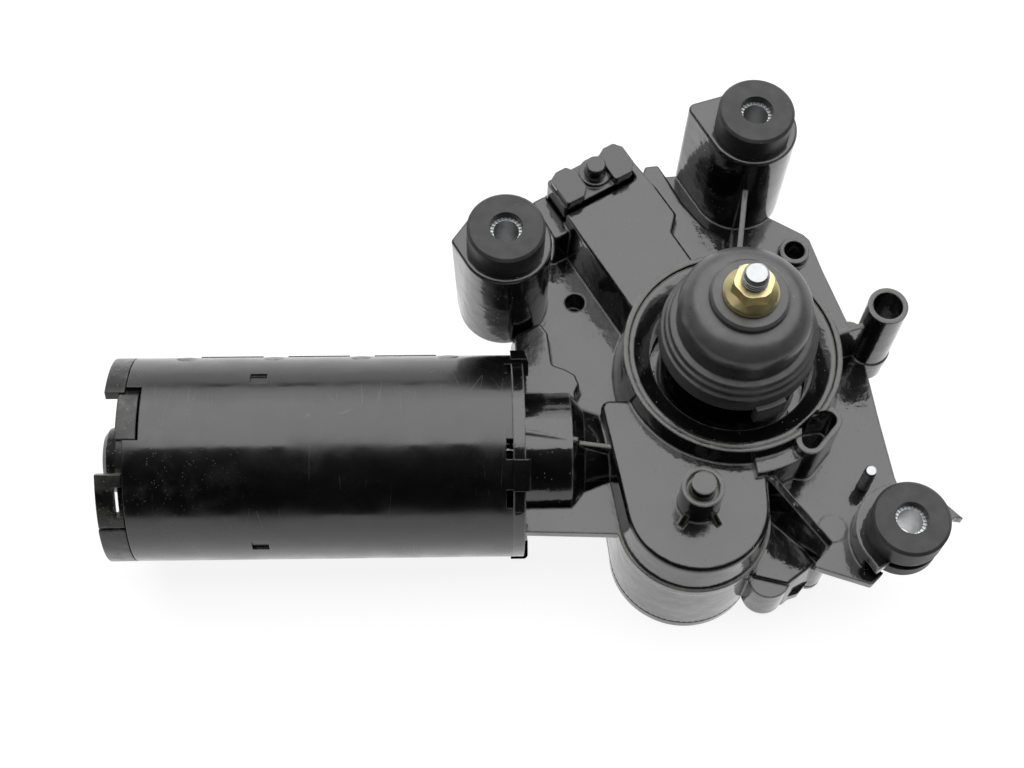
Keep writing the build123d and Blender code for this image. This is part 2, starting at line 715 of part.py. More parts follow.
def domeFace(radius):
    """D-shaped outline over the worm wheel, running back to the collar."""
    leftCorner = (idlerX - 27.0, motorY + 9.2)
    rightCorner = (idlerX + radius - 3.0, motorY + 8.8)
    return hullOf((radius, idler), (3.0, leftCorner), (3.0, rightCorner))


def collar():
    """Round collar with an open cup, a central pedestal and the output shaft's bearing tube."""
    cup = turned([
        (0, plateTop - 1), (collarBaseRadius, plateTop - 1), (collarBaseRadius, plateTop),
        (collarRimRadius, rimZ), (collarInnerRadius, rimZ), (collarInnerRadius, rimZ - 3.6),
        (collarInnerRadius - 1.8, rimZ - 3.6), (collarInnerRadius - 1.8, collarFloor),
        (pedestalRadius, collarFloor), (pedestalRadius, pedestalTop), (shaftBossRadius, pedestalTop),
        (shaftBossRadius, bearingTop - 1.0), (shaftBossRadius - 1.0, bearingTop), (0, bearingTop),
    ])
    return cup


def pedestalHollow():
    """Space inside the pedestal, open downwards, crossed by six ribs."""
    ring = disc(pedestalRadius - wall) - disc(shaftBossRadius)
    for n in range(6):
        ring -= Rot(0, 0, 30 + 60 * n) * Pos(pedestalRadius / 2, 0) * Rectangle(pedestalRadius, ribThick)
    return slab(ring, plateBottom - 1, pedestalTop - wall)


def tower(at, ear, lean, earRadius):
    """Hollow column under a mounting grommet, with an ear beside it that may lean in at its foot."""
    faces = []
    for z, inward in ((plateTop - 1.0, lean), (towerTop, 0.0)):
        place = (at[0] + ear[0] + inward, at[1] + ear[1])
        faces.append(Pos(0, 0, z) * hullOf((towerRadius, at), (earRadius, place)))
    column = loft(faces)
    column = fillet(column.faces().sort_by(Axis.Z)[-1].edges(), 1.0)
    column -= rod(grommetNeckRadius, towerTop - earThick - 1, towerTop + 1, at)
    return column - rod(towerRadius - 2.4, plateBottom - 1, towerTop - earThick, at)


def lowEar():
    """Low open-fronted ear beside the plate, on a curved wall."""
    centre = earFront
    ear = hullOf((16.2, centre), (1.2, (centre[0] + 18.6, centre[1] + 2.4)))
    ear += hullOf((5.0, (centre[0] - 8.0, centre[1] - 8.0)), (1.2, (centre[0] - 8.2, centre[1] - 15.4)))
    turn = math.degrees(math.atan2(15, 23))
    cut = Pos(centre[0], centre[1]) * Rot(0, 0, turn) * Pos(2.0, -grommetNeckRadius - 7.5) * Rectangle(60, 20)
    ear -= cut & (disc(15.4, (centre[0] + 3.4, centre[1] - 9.0)) + disc(24, (centre[0] + 14, centre[1] - 20.0)))
    ear -= disc(grommetNeckRadius, centre)
    body = slab(ear, lowEarTop - earThick, lowEarTop)
    skirt = hullOf((16.2, centre), (3.0, (centre[0] - 10.0, centre[1] + 8.0))) - disc(grommetRadius + 0.6, centre)
    skirt &= outline([(centre[0] - 20, centre[1] - 13), (centre[0] - 2, centre[1] - 3),
                      (centre[0] + 9, centre[1] + 20), (centre[0] - 20, centre[1] + 20)])
    return body + slab(skirt, plateBottom, lowEarTop - earThick / 2)


def switchBay():
    """Raised bay from the collar to the plate's rear edge, with lower steps at its end and sides."""
    rows = [(28.0, bayLeft), (bayFrontEnd, bayLeft), (bayFrontEnd, bayRight - 6.0), (bayRearEnd - 5.5, bayRight - 6.0),
            (bayRearEnd - 5.5, bayRight - 3.0), (bayFrontEnd - 6.0, bayRight - 1.8),
            (bayFrontEnd - 19.0, bayRight - 1.7), (bayFrontEnd - 24.2, bayRight - 6.9), (28.0, bayRight - 7.0)]
    block = drafted([bayPoint(*row) for row in rows], plateTop - 1, bayTop, 1.2, 1.2, 1.0)
    shelf = [(bayFrontEnd - 2, bayLeft), (bayRearEnd, bayLeft), (bayRearEnd, bayRight - 6.0),
             (bayFrontEnd - 2, bayRight - 6.0)]
    block += slab(bayOutline(shelf, 1.0), plateTop - 1, bayTop - shelfDrop)
    side = [(bayFrontEnd - 4, bayLeft + 0.2), (bayRearEnd - 1, bayLeft + 0.2), (bayRearEnd - 1, bayLeft - 5.5),
            (bayFrontEnd - 4, bayLeft - 6.5)]
    block += drafted([bayPoint(*row) for row in side], plateTop - 1, bayTop - 5.5, 0.8, 1.2, 1.0)
    step = [(-28.0, 66.0), (-24.6, 76.0), (-20.0, 76.6), (-16.3, 69.5), (-12.5, 61.5), (-8.5, 55.8), (-5.1, 51.4),
            (1.6, 46.4), (1.0, 30.0), (-12.0, 30.0)]
    block += drafted(step, plateTop - 1, plateTop + bayStepRise, 1.0, 1.2, 0.9)
    inside = [(30.0, bayLeft + wall), (bayFrontEnd - wall, bayLeft + wall),
              (bayFrontEnd - wall, bayRight - 7.0 - wall), (30.0, bayRight - 7.0 - wall)]
    return block, slab(bayOutline(inside, 1.0), plateBottom - 1, bayTop - wall)


def axlePost():
    """Round post over the wheel's pin, with two short fins on the dome."""
    post = rod(postRadius, domeTop - 2, postTop, idler)
    for angle in (-128.0, -52.0):
        foot = polar(postRadius + 3.4, angle)
        start = polar(postRadius - 2.0, angle)
        post += rib((idlerX + start[0], idlerY + start[1]), (idlerX + foot[0], idlerY + foot[1]),
                    domeTop + 5.0, domeTop + 0.4, domeTop - 2, 2.0)
    return post


def caseFace():
    """Outline of the lower gear case round the output gear and the worm wheel."""
    return disc(caseRadius) + hullOf((domeRadius + 1.7, idler), (6.0, (idlerX - 22.0, motorY + 2.0)))


def gearCase():
    """Walls of the lower gear case, with the cover's screw bosses."""
    case = slab(caseFace(), caseBottom, plateBottom + 0.5)
    apron = outline([(2.0, -40.0), (10.4, -40.6), (30.6, -60.4), (24.4, -67.4), (13.0, -71.0), (4.0, -66.0)], 1.0)
    case += slab(apron, caseBottom, caseBottom + apronThick)
    case += rib((9.4, -39.4), (31.0, -60.8), domeTop - 1.5, plateTop, caseBottom + 1, ribThick)
    facet = [(13.0, -43.0), (17.0, -45.6), (28.4, -61.6), (18.5, -69.0), (7.0, -66.0), (6.0, -52.0)]
    case += drafted(facet, caseBottom, caseBottom + footHeight, 1.2, 1.4, 1.0)
    for radius, place in zip(footRadii, footPlaces):
        case += rod(radius, caseBottom, caseBottom + footHeight - 1.5, place)
    for place in wallScrewPlaces:
        case += rod(screwBossRadius, caseBottom, plateBottom + 0.5, place)
        case += rib(place, (place[0] * 0.72, place[1] * 0.72), plateBottom, plateBottom, caseBottom, 2 * ribThick)
    return case


def motorNose():
    """Flange that closes the yoke, the nose behind it and the neck that runs into the worm's tunnel."""
    nose = motorRod(canRadius, canFrontX, flangeFrontX)
    profile = [
        (flangeFrontX - 1, 0), (flangeFrontX - 1, noseRadius), (noseEndX - 1.4, noseRadius),
        (noseEndX, noseRadius - 1.4), (noseEndX + 3.0, noseRadius - 5.4), (noseEndX + 14.0, tunnelRadius + 1.5),
        (noseEndX + 14.0, 0),
    ]
    nose += Pos(0, motorY, motorZ) * revolve(make_face(Plane.XZ * Polyline(*profile, close=True)), Axis.X)
    crest = motorZ + noseRadius
    nose += rib((flangeFrontX - 0.5, motorY - 0.6), (noseEndX + 0.5, motorY - 3.2), crest + 1.2, crest - 0.6,
                motorZ, noseRibThick)
    return nose + rib((noseEndX, motorY - 3.2), (idlerX - 24.0, motorY - 4.6), crest - 3.0, domeTop - 1.5,
                      motorZ, noseRibThick)


def gearHousing():
    """Die-cast housing: plate, gear case, dome, collar, switch bay, towers, ear and bosses."""
    body = slab(plateFace(), plateBottom, plateTop)
    dome = loft([Pos(0, 0, plateTop - 1) * domeFace(domeRadius + 1.4), Pos(0, 0, domeTop) * domeFace(domeRadius)])
    body += fillet(dome.faces().sort_by(Axis.Z)[-1].edges(), 1.8)
    bay, bayInside = switchBay()
    body += bay
    raised = [
        (canFrontX + 2.2, motorY + 4.0), (canFrontX + 2.2, motorY + 39.6), (-63.3, 18.4), (-60.7, 14.6),
        (-59.6, 2.5), (-55.2, 0.8), (-51.9, -1.3), (-50.6, -5.0), (-52.2, -8.3), (-51.3, -13.6),
        (-48.5, -17.3), (-48.5, motorY + 4.0)]
    body += drafted(raised, plateTop - 1, plateTop + slabRise, 1.2, 1.3, 1.0)
    body += gearCase()
    body += motorNose()
    body += motorRod(tunnelRadius, noseEndX - 1, tunnelEndX)
    body += axlePost()
    smallBossEnd = plateTop + smallBossRise - smallBossDepth
    body += rod(smallBossRadius, smallBossEnd - 2, plateTop + smallBossRise, smallBossPlace)
    body += rod(plainHoleRadius + 2.2, plateTop - plainHoleDepth - 2, plateTop, plainHolePlace)
    body += rod(ejectorRadius, plateTop - 1, plateTop + ejectorMark, ejectorPlace)
    body += rod(tubeRadius, plateBottom - 8, plateTop + tubeRise, tubePlace)
    body += rib((34.0, 7.0), (tubePlace[0] - 3, tubePlace[1] - 1), rimZ - 3, rimZ - 1, plateTop - 1, 1.8)
    body += slab(spoutFace(spoutWall), plateTop - 1, rimZ - 0.8)
    ledge = disc(ledgeReach) & outline([(0, 0), polar(60, drainAngle - 34), polar(60, drainAngle - 10)])
    body += slab(ledge, plateTop - 1, plateTop + ledgeRise)
    body += collar()
    body -= rod(collarInnerRadius - 1.8, collarFloor, rimZ + 1) - rod(pedestalRadius, collarFloor - 1, rimZ + 2)
    body -= rod(collarInnerRadius, rimZ - 3.6, rimZ + 1) - rod(pedestalRadius, rimZ - 5, rimZ + 2)
    body -= slab(spoutFace(0), collarFloor + 1.0, rimZ + 1)

    for at, ear, lean, earRadius in ((towerLeft, (-16.2, 0.8), 2.0, 1.6), (towerBack, (-18.6, 7.4), 0.0, 2.6)):
        body += tower(at, ear, lean, earRadius)
        body -= rod(towerRadius - 2.4, plateBottom - 1, towerTop - earThick, at)
    body += rib((towerBack[0] - 1.2, towerBack[1] - towerRadius + 1.0), (4.6, collarRimRadius - 2.0),
                towerTop - 16, rimZ - 1, plateTop - 1, 1.8)
    body += lowEar()
    body -= rod(grommetRadius + 0.3, plateBottom - 1, lowEarTop - earThick, earFront)

    tunnel = motorRod(tunnelRadius, noseEndX - 4, tunnelEndX)
    body -= (rod(gearRoomRadius, caseBottom - 1, plateBottom) - tunnel
             - rod(shaftBossRadius, bearingBottom, plateBottom + 1))
    body -= pedestalHollow()
    body -= bayInside
    body -= rod(wheelRoom, caseBottom - 1, domeTop - wall, idler)
    body -= motorRod(noseRadius - wall, canFrontX - 1, flangeFrontX - 1.5)
    body -= motorRod(frontBearingRadius, canFrontX, flangeFrontX + frontBearingLength)
    body -= motorRod(wormBoreRadius, flangeFrontX, shaftFrontX + 1.4)
    body -= motorRod(thrustRadius, shaftFrontX, tunnelEndX + 1)
    body -= rod(bushRadius, bearingBottom - 1, bearingBottom + bushLength)
    body -= rod(outputRadius + 1.0, bearingBottom, bearingTop)
    body -= rod(bushRadius, bearingTop - bushLength, bearingTop + 1)
    body -= rod(postRecessRadius, postTop - postRecessDepth, postTop + 1, idler)
    body -= rod(pinRadius, domeTop - wall - 1, postTop, idler)
    body -= rod(smallBossBore, smallBossEnd, plateTop + smallBossRise + 1, smallBossPlace)
    body -= rod(tubeBoreRadius, plateBottom - 9, plateTop + tubeRise + 1, tubePlace)
    body -= rod(plainHoleRadius, plateTop - plainHoleDepth, plateTop + 1, plainHolePlace)
    body -= rod(studShank, plateTop - studSink, plateTop + 1, studPlace)
    for place in screwPlaces:
        body -= rod(screwRadius, caseBottom - 1, caseBottom + 12.0, place)
    return body


def coverFace():
    face = caseFace()
    for place in screwPlaces:
        face += hullOf((screwBossRadius, place), (screwBossRadius, (place[0] * 0.72, place[1] * 0.72)))
    return face


def gearCover():
    """Flat cast cover with a raised rim, cross ribs and a socket for the wheel's pin."""
    cover = slab(coverFace(), coverPlateBottom, coverTop)
    rim = disc(caseRadius) - disc(caseRadius - wall)
    rim += disc(domeRadius + 1.7, idler) - disc(domeRadius + 1.7 - wall, idler) - disc(caseRadius - wall)
    cover += slab(rim, coverBottom, coverPlateBottom)
    for angle in (0, 60, 120):
        web = Rot(0, 0, angle) * Rectangle(2 * caseRadius - 2, ribThick)
        cover += slab(web & disc(caseRadius - 1), coverBottom, coverPlateBottom)
    cover += rod(pinRadius + 4.0, coverTop - 0.5, coverTop + socketHeight, idler)
    cover -= rod(pinRadius, coverTop - 0.5, coverTop + socketHeight + 1, idler)
    for place in screwPlaces:
        cover -= rod(screwRadius + 0.3, coverBottom - 1, coverTop + 1, place)
        cover -= rod(screwHeadRadius + 0.5, coverBottom - 1, coverPlateBottom + 0.6, place)
    return cover


def coverGasket():
    inside = disc(gearRoomRadius) + disc(wheelRoom, idler)
    sheet = coverFace() - inside
    for place in screwPlaces:
        sheet -= disc(screwRadius + 0.4, place)
    return slab(sheet, coverTop, caseBottom)


def coverScrew(place):
    """Pan head screw, its head up inside the cover's recess."""
    seat = coverPlateBottom + 0.6
    screw = rod(screwRadius, seat - 0.5, caseBottom + 10.0, place)
    head = rod(screwHeadRadius, seat - screwHeadHeight, seat, place)
    cross = Rectangle(1.0, 4.2) + Rectangle(4.2, 1.0)
    return screw + head - slab(Pos(place[0], place[1]) * cross, seat - screwHeadHeight, seat - screwHeadHeight + 1.0)


# ---------------------------------------------------------------- mounts and bay fittings
def grommet(at, seat):
    """Rubber grommet: a thick upper flange, a neck in the ear and a thinner lower flange."""
    top = seat + grommetTop
    foot = seat - earThick
    return turned([
        (grommetBoreRadius, foot - grommetBottom), (grommetRadius - 0.8, foot - grommetBottom),
        (grommetRadius - 0.2, foot - grommetBottom + 0.8), (grommetRadius - 0.2, foot),
        (grommetNeckRadius, foot), (grommetNeckRadius, seat), (grommetRadius, seat),
        (grommetRadius, top - 0.9), (grommetRadius - 0.9, top), (grommetBoreRadius, top),
    ], at)


def sleeve(at, seat):
    """Steel spacer inside a grommet."""
    bottom = seat - earThick - grommetBottom
    return turned([
        (sleeveBoreRadius, bottom), (grommetBoreRadius, bottom), (grommetBoreRadius, seat + grommetTop - sleeveSink),
        (sleeveBoreRadius, seat + grommetTop - sleeveSink),
    ], at)


def bayCap():
    """Moulded cap on the end of the switch bay, with a raised lug at each side."""
    base = [(bayFrontEnd + 0.8, bayLeft + 0.4), (bayRearEnd - 0.4, bayLeft + 0.4),
            (bayRearEnd - 0.4, bayRight - 6.8), (bayFrontEnd + 0.8, bayRight - 6.8)]
    bottom = bayTop - shelfDrop
    cap = slab(bayOutline(base, 1.5), bottom, bayTop + 2.0)
    for across in (bayLeft + 5.6, bayRight - 10.0):
        lug = [(bayFrontEnd + 0.6, across - 4.6), (bayRearEnd - 2.4, across - 4.6),
               (bayRearEnd - 0.6, across - 1.6), (bayRearEnd - 0.6, across + 2.4),
               (bayRearEnd - 3.4, across + 4.6), (bayFrontEnd + 3.4, across + 4.6),
               (bayFrontEnd + 0.6, across + 2.0)]
        cap += slab(bayOutline(lug, 1.0), bayTop + 1.0, bayTop + capLugRise)
    place = bayPoint(capPinAlong, capPinAcross)
    cap += rod(5.6, bottom, bayTop + 3.4, place)
    return cap - rod(capPinRadius, bottom - 1, bayTop + 8, place)


def capPin():
    """Plain locating pin that holds the bay cap down."""
    place = bayPoint(capPinAlong, capPinAcross)
    top = bayTop + capLugRise + 2.6
    pin = rod(capPinRadius, bayTop - shelfDrop, top, place)
    return chamfer(pin.faces().sort_by(Axis.Z)[-1].edges(), 0.5)


def groundStud():
    """Small threaded stud, its thinner shank pressed into the plate."""
    stud = rod(studRadius, plateTop, plateTop + studRise, studPlace)
    stud = chamfer(stud.faces().sort_by(Axis.Z)[-1].edges(), 0.4)
    return stud + rod(studShank, plateTop - studSink, plateTop + 1, studPlace)


def parkContacts():
    """Contact ring bonded under the output gear for the park switch."""
    outer = gearHubRadius + 11.0
    ring = disc(outer) - disc(outer - 6.0)
    ring -= Rot(0, 0, 200) * Pos(outer - 1.5, 0) * Rectangle(4.0, 9.0)
    return slab(ring, gearBottom + 2.6 - 0.8, gearBottom + 2.6)


def contactArm(radius):
    """Sprung contact finger on the cover, reaching up under the park ring."""
    foot = slab(Pos(0, -radius - 4.0) * Rectangle(5.0, 9.0), coverTop, coverTop + 1.0)
    post = slab(Pos(0, -radius - 6.0) * Rectangle(4.0, 3.0), coverTop, coverTop + 4.6)
    arm = slab(Pos(0, -radius - 2.6) * Rectangle(3.4, 9.0), coverTop + 4.0, coverTop + 4.6)
    return Rot(0, 0, 150) * (foot + post + arm)


sleeveSeats = {"left": (towerLeft, towerTop), "back": (towerBack, towerTop), "front": (earFront, lowEarTop)}

nodes = {
    "yoke_can": yokeCan(),
    "locking_tabs": lockingTabs(),
    "end_cap": endCap(),
    "magnet_pair": Compound(children=[magnet(1).solid(), magnet(-1).solid()]),
    "armature_shaft": armatureShaft(),
    "armature_core": armatureCore(),
    "armature_winding": armatureWinding(),
    "commutator": commutator(),
    "rear_bush": bearing(rearBearingRadius, canRearX - 7.6, canRearX - 0.4),
    "front_bearing": bearing(frontBearingRadius, flangeFrontX, flangeFrontX + frontBearingLength),
    "brush_plate": brushPlate(),
    "brushes": Compound(children=[brush(a).solid() for a in (0, 180)]),
    "brush_boxes": Compound(children=[brushBox(a).solid() for a in (0, 180)]),
    "brush_springs": Compound(children=[brushSpring(a).solid() for a in (0, 180)]),
    "thrust_screw": motorRod(thrustRadius, shaftFrontX + 0.1, tunnelEndX - 0.6),
    "gear_housing": gearHousing(),
    "gear_cover": gearCover(),
    "cover_gasket": coverGasket(),
    "cover_screws": Compound(children=[coverScrew(place).solid() for place in screwPlaces]),
    "worm_wheel": wormWheel(),
    "wheel_pinion": wheelPinion(),
    "axle_pin": rod(pinRadius, coverTop - 0.5, postTop + pinStandOut, idler),
    "output_gear": outputGear(),
    "park_ring": parkContacts(),
    "park_contacts": Compound(children=[contactArm(r).solid() for r in (18.0,)]),
    "output_shaft": outputShaft(),
    "shaft_clip": shaftClip(),
    "upper_bush": bush(bearingTop - bushLength, bushLength, 1),
    "lower_bush": bush(bearingBottom, bushLength, -1),
    "collar_disc": collarDisc(),
    "rubber_boot": rubberBoot(),
    "flange_nut": flangeNut(),
    "ground_stud": groundStud(),
    "bay_cap": bayCap(),
    "cap_pin": capPin(),
}
for side, (at, seat) in sleeveSeats.items():
    nodes["grommet_" + side] = grommet(at, seat)
    nodes["sleeve_" + side] = sleeve(at, seat)

os.makedirs("parts", exist_ok=True)
for name, shape in nodes.items():
    export_step(shape, "parts/" + name + ".step")
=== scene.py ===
import json
import math
import bpy
from mathutils import Matrix, Vector


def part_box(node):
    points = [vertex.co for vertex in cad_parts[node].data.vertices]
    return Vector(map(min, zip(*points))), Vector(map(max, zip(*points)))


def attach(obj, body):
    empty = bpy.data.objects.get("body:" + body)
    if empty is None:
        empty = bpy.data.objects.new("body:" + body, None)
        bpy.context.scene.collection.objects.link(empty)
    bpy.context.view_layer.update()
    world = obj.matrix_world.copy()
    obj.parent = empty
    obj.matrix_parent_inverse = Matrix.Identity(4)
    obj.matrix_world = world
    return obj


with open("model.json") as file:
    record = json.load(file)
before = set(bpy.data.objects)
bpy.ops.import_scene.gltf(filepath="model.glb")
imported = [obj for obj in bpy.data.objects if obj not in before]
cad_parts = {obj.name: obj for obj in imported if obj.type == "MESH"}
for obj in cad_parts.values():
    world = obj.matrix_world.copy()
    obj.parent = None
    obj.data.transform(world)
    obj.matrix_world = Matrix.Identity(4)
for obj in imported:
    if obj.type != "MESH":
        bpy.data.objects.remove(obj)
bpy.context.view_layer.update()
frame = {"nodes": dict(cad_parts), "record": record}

nodes = frame["nodes"]
mm = 0.001
mixA, mixB, mixOut = 6, 7, 2  # colour sockets of a Mix node
edgeSamples = 6  # rays that round an edge's shading
print("frame loaded:", len(nodes), "nodes")


def linear(hexText):  # sRGB hex to the linear colour a shader wants
    channels = []
    for i in (0, 2, 4):
        c = int(hexText.lstrip("#")[i:i + 2], 16) / 255
        channels.append(c / 12.92 if c <= 0.04045 else ((c + 0.055) / 1.055) ** 2.4)
    return (*channels, 1.0)


def perMetre(sizeMm):  # texture scale whose features are about this many millimetres wide
    return 1.0 / (sizeMm * mm)


def bandsPerMetre(pitchMm, diagonal=False):  # wave texture scale whose bands are this far apart
    quickness = 10 * math.sqrt(3) if diagonal else 20  # radians of wave in one unit of the texture
    return 2 * math.pi / (quickness * pitchMm * mm)


def addNode(tree, kind, values=None, links=None, **settings):
    node = tree.nodes.new(kind)
    for name, value in settings.items():
        setattr(node, name, value)
    for name, value in (values or {}).items():
        node.inputs[name].default_value = value
    for name, source in (links or {}).items():
        tree.links.new(source, node.inputs[name])
    return node


def newMaterial(name, **values):
    material = bpy.data.materials.new(name)
    material.use_nodes = True
    shader = material.node_tree.nodes["Principled BSDF"]
    for key, value in values.items():
        shader.inputs[key.replace("_", " ")].default_value = value
    return material, material.node_tree, shader


def patches(tree, place, sizeMm, span, result=(0.0, 1.0), detail=4.0):
    # soft irregular patches: noise of one size, cut to a span of its strength
    noise = addNode(tree, "ShaderNodeTexNoise", {"Scale": perMetre(sizeMm), "Detail": detail},
                    {"Vector": place})
    cut = addNode(tree, "ShaderNodeMapRange",
                  {"From Min": span[0], "From Max": span[1], "To Min": result[0], "To Max": result[1]},
                  {"Value": noise.outputs["Fac"]})
    return cut.outputs["Result"]


# the size of a crowd of grains, the fewest grains between crowds and how far in a dot is full
crowding = {"sizeMm": 14.0, "span": (0.4, 0.68), "fewest": 0.1, "fullInside": 0.6}


def grains(tree, place, cellMm, dotMm, share):
    # loose grains: round dots in a share of the cells of a scattered grid, the share itself in patches
    cells = addNode(tree, "ShaderNodeTexVoronoi", {"Scale": perMetre(cellMm)}, {"Vector": place})
    half = 0.5 * dotMm / cellMm
    dots = addNode(tree, "ShaderNodeMapRange", {"From Min": half, "From Max": crowding["fullInside"] * half},
                   {"Value": cells.outputs["Distance"]})
    pick = addNode(tree, "ShaderNodeSeparateColor", None, {"Color": cells.outputs["Color"]})
    crowd = patches(tree, place, crowding["sizeMm"], crowding["span"], (crowding["fewest"] * share, share))
    kept = addNode(tree, "ShaderNodeMath", None, {0: pick.outputs["Red"], 1: crowd}, operation="LESS_THAN")
    return addNode(tree, "ShaderNodeMath", None, {0: dots.outputs["Result"], 1: kept.outputs["Value"]},
                   operation="MULTIPLY").outputs["Value"]


def surfaceRelief(tree, shader, rounded, layers, coated=False):
    # bump layers as (height, depth in mm) over a normal whose edges are already rounded
    normal = rounded
    for height, depthMm in layers:
        bump = addNode(tree, "ShaderNodeBump", {"Distance": depthMm * mm},
                       {"Height": height, "Normal": normal})
        normal = bump.outputs["Normal"]
    tree.links.new(normal, shader.inputs["Normal"])
    if coated:
        tree.links.new(normal, shader.inputs["Coat Normal"])


# cosines of the normal's turn where the painted edge highlight starts and where it is full, and the gaps in
# the highlighted line
edgeLight = {"starts": 0.99, "full": 0.88, "gapMm": 3.0, "gapSpan": (0.3, 0.6), "least": 0.35}


def paintedEdgeHighlight(tree, place, rounded, most):
    # where the rounded normal leaves the face's own: the edges, which get a painted highlight, broken up a
    # little
    face = addNode(tree, "ShaderNodeNewGeometry").outputs["True Normal"]
    facing = addNode(tree, "ShaderNodeVectorMath", None, {0: rounded, 1: face}, operation="DOT_PRODUCT")
    bend = addNode(tree, "ShaderNodeMapRange",
                   {"From Min": edgeLight["starts"], "From Max": edgeLight["full"], "To Max": most},
                   {"Value": facing.outputs["Value"]})
    broken = patches(tree, place, edgeLight["gapMm"], edgeLight["gapSpan"], (edgeLight["least"], 1.0))
    return addNode(tree, "ShaderNodeMath", None, {0: bend.outputs["Result"], 1: broken},
                   operation="MULTIPLY").outputs["Value"]


castingLook = {
    "paint": "#050506", "film": "#131313", "filmMm": 16.0,
    "grit": "#85837c", "grainCellMm": 1.2, "grainMm": 0.34, "grainShare": 0.6, "gritDepthMm": 0.05,
    # the edge colour and its greatest share are a painted highlight along the edges
    "edge": "#8c8c87", "edgeMm": 1.1, "edgeHighlightPeak": 0.8,
    "roughness": (0.3, 0.5), "roughMm": 11.0, "coatRoughness": (0.05, 0.16), "coatMm": 6.0,
    "peelMm": 2.4, "peelDepthMm": 0.065, "waveMm": 17.0, "waveDepthMm": 0.5,
}


def blackElectrocoat():
    # wet-looking electrocoat on a die casting: mirrors like lacquer, slightly wavy, dusty film and grit, and
    # a painted highlight along its edges
    look = castingLook
    material, tree, shader = newMaterial("black electrocoat on die-cast aluminium", Coat_Weight=1.0,
                                         Coat_IOR=1.68, Specular_IOR_Level=0.12)
    place = addNode(tree, "ShaderNodeTexCoord").outputs["Object"]
    rounded = addNode(tree, "ShaderNodeBevel", {"Radius": look["edgeMm"] * mm},
                      samples=edgeSamples).outputs["Normal"]
    film = patches(tree, place, look["filmMm"], span=(0.5, 0.72), result=(0.0, 0.8), detail=6.0)
    dusty = addNode(tree, "ShaderNodeMix", {mixA: linear(look["paint"]), mixB: linear(look["film"])},
                    {"Factor": film}, data_type="RGBA")
    grit = grains(tree, place, look["grainCellMm"], look["grainMm"], look["grainShare"])
    gritty = addNode(tree, "ShaderNodeMix", {mixB: linear(look["grit"])},
                     {"Factor": grit, mixA: dusty.outputs[mixOut]}, data_type="RGBA")
    # painted highlight: the edges are lightened towards the edge colour
    highlightedEdges = paintedEdgeHighlight(tree, place, rounded, look["edgeHighlightPeak"])
    colour = addNode(tree, "ShaderNodeMix", {mixB: linear(look["edge"])},
                     {"Factor": highlightedEdges, mixA: gritty.outputs[mixOut]}, data_type="RGBA")
    tree.links.new(colour.outputs[mixOut], shader.inputs["Base Color"])
    rough = patches(tree, place, look["roughMm"], span=(0.3, 0.75), result=look["roughness"], detail=5.0)
    tree.links.new(rough, shader.inputs["Roughness"])
    coat = patches(tree, place, look["coatMm"], span=(0.35, 0.72), result=look["coatRoughness"], detail=6.0)
    tree.links.new(coat, shader.inputs["Coat Roughness"])
    peel = addNode(tree, "ShaderNodeTexNoise", {"Scale": perMetre(look["peelMm"])}, {"Vector": place})
    wave = addNode(tree, "ShaderNodeTexNoise", {"Scale": perMetre(look["waveMm"])}, {"Vector": place})
    layers = ((peel.outputs["Fac"], look["peelDepthMm"]), (wave.outputs["Fac"], look["waveDepthMm"]),
              (grit, look["gritDepthMm"]))
    surfaceRelief(tree, shader, rounded, layers, coated=True)
    return material


yokeLook = {
    "paint": "#060607", "smear": "#242423", "smearMm": 7.0, "edgeMm": 0.5,
    "rubPlace": (-0.190, -0.046, -0.047), "rubRadius": 0.036,  # metres
    "rubCore": 0.2, "rubElsewhere": 0.12,  # shares of the radius and of the wear
    "worn": "#5a5a57", "grainCellMm": 0.7, "grainMm": 0.3, "grainShare": 0.7, "wornDepthMm": 0.03,
    "scratch": "#585856", "scratchTurn": (0.0, 0.25, 0.3), "scratchWidth": 0.007,
    "scratchGapMm": 9.0, "scratchLengthMm": 50.0, "scratchPatchMm": 13.0,
    "roughness": (0.35, 0.5), "roughMm": 9.0, "coatRoughness": (0.13, 0.3), "coatMm": 13.0,
    "fineMm": 0.9, "fineDepthMm": 0.006, "broadMm": 22.0, "broadDepthMm": 0.3,
}


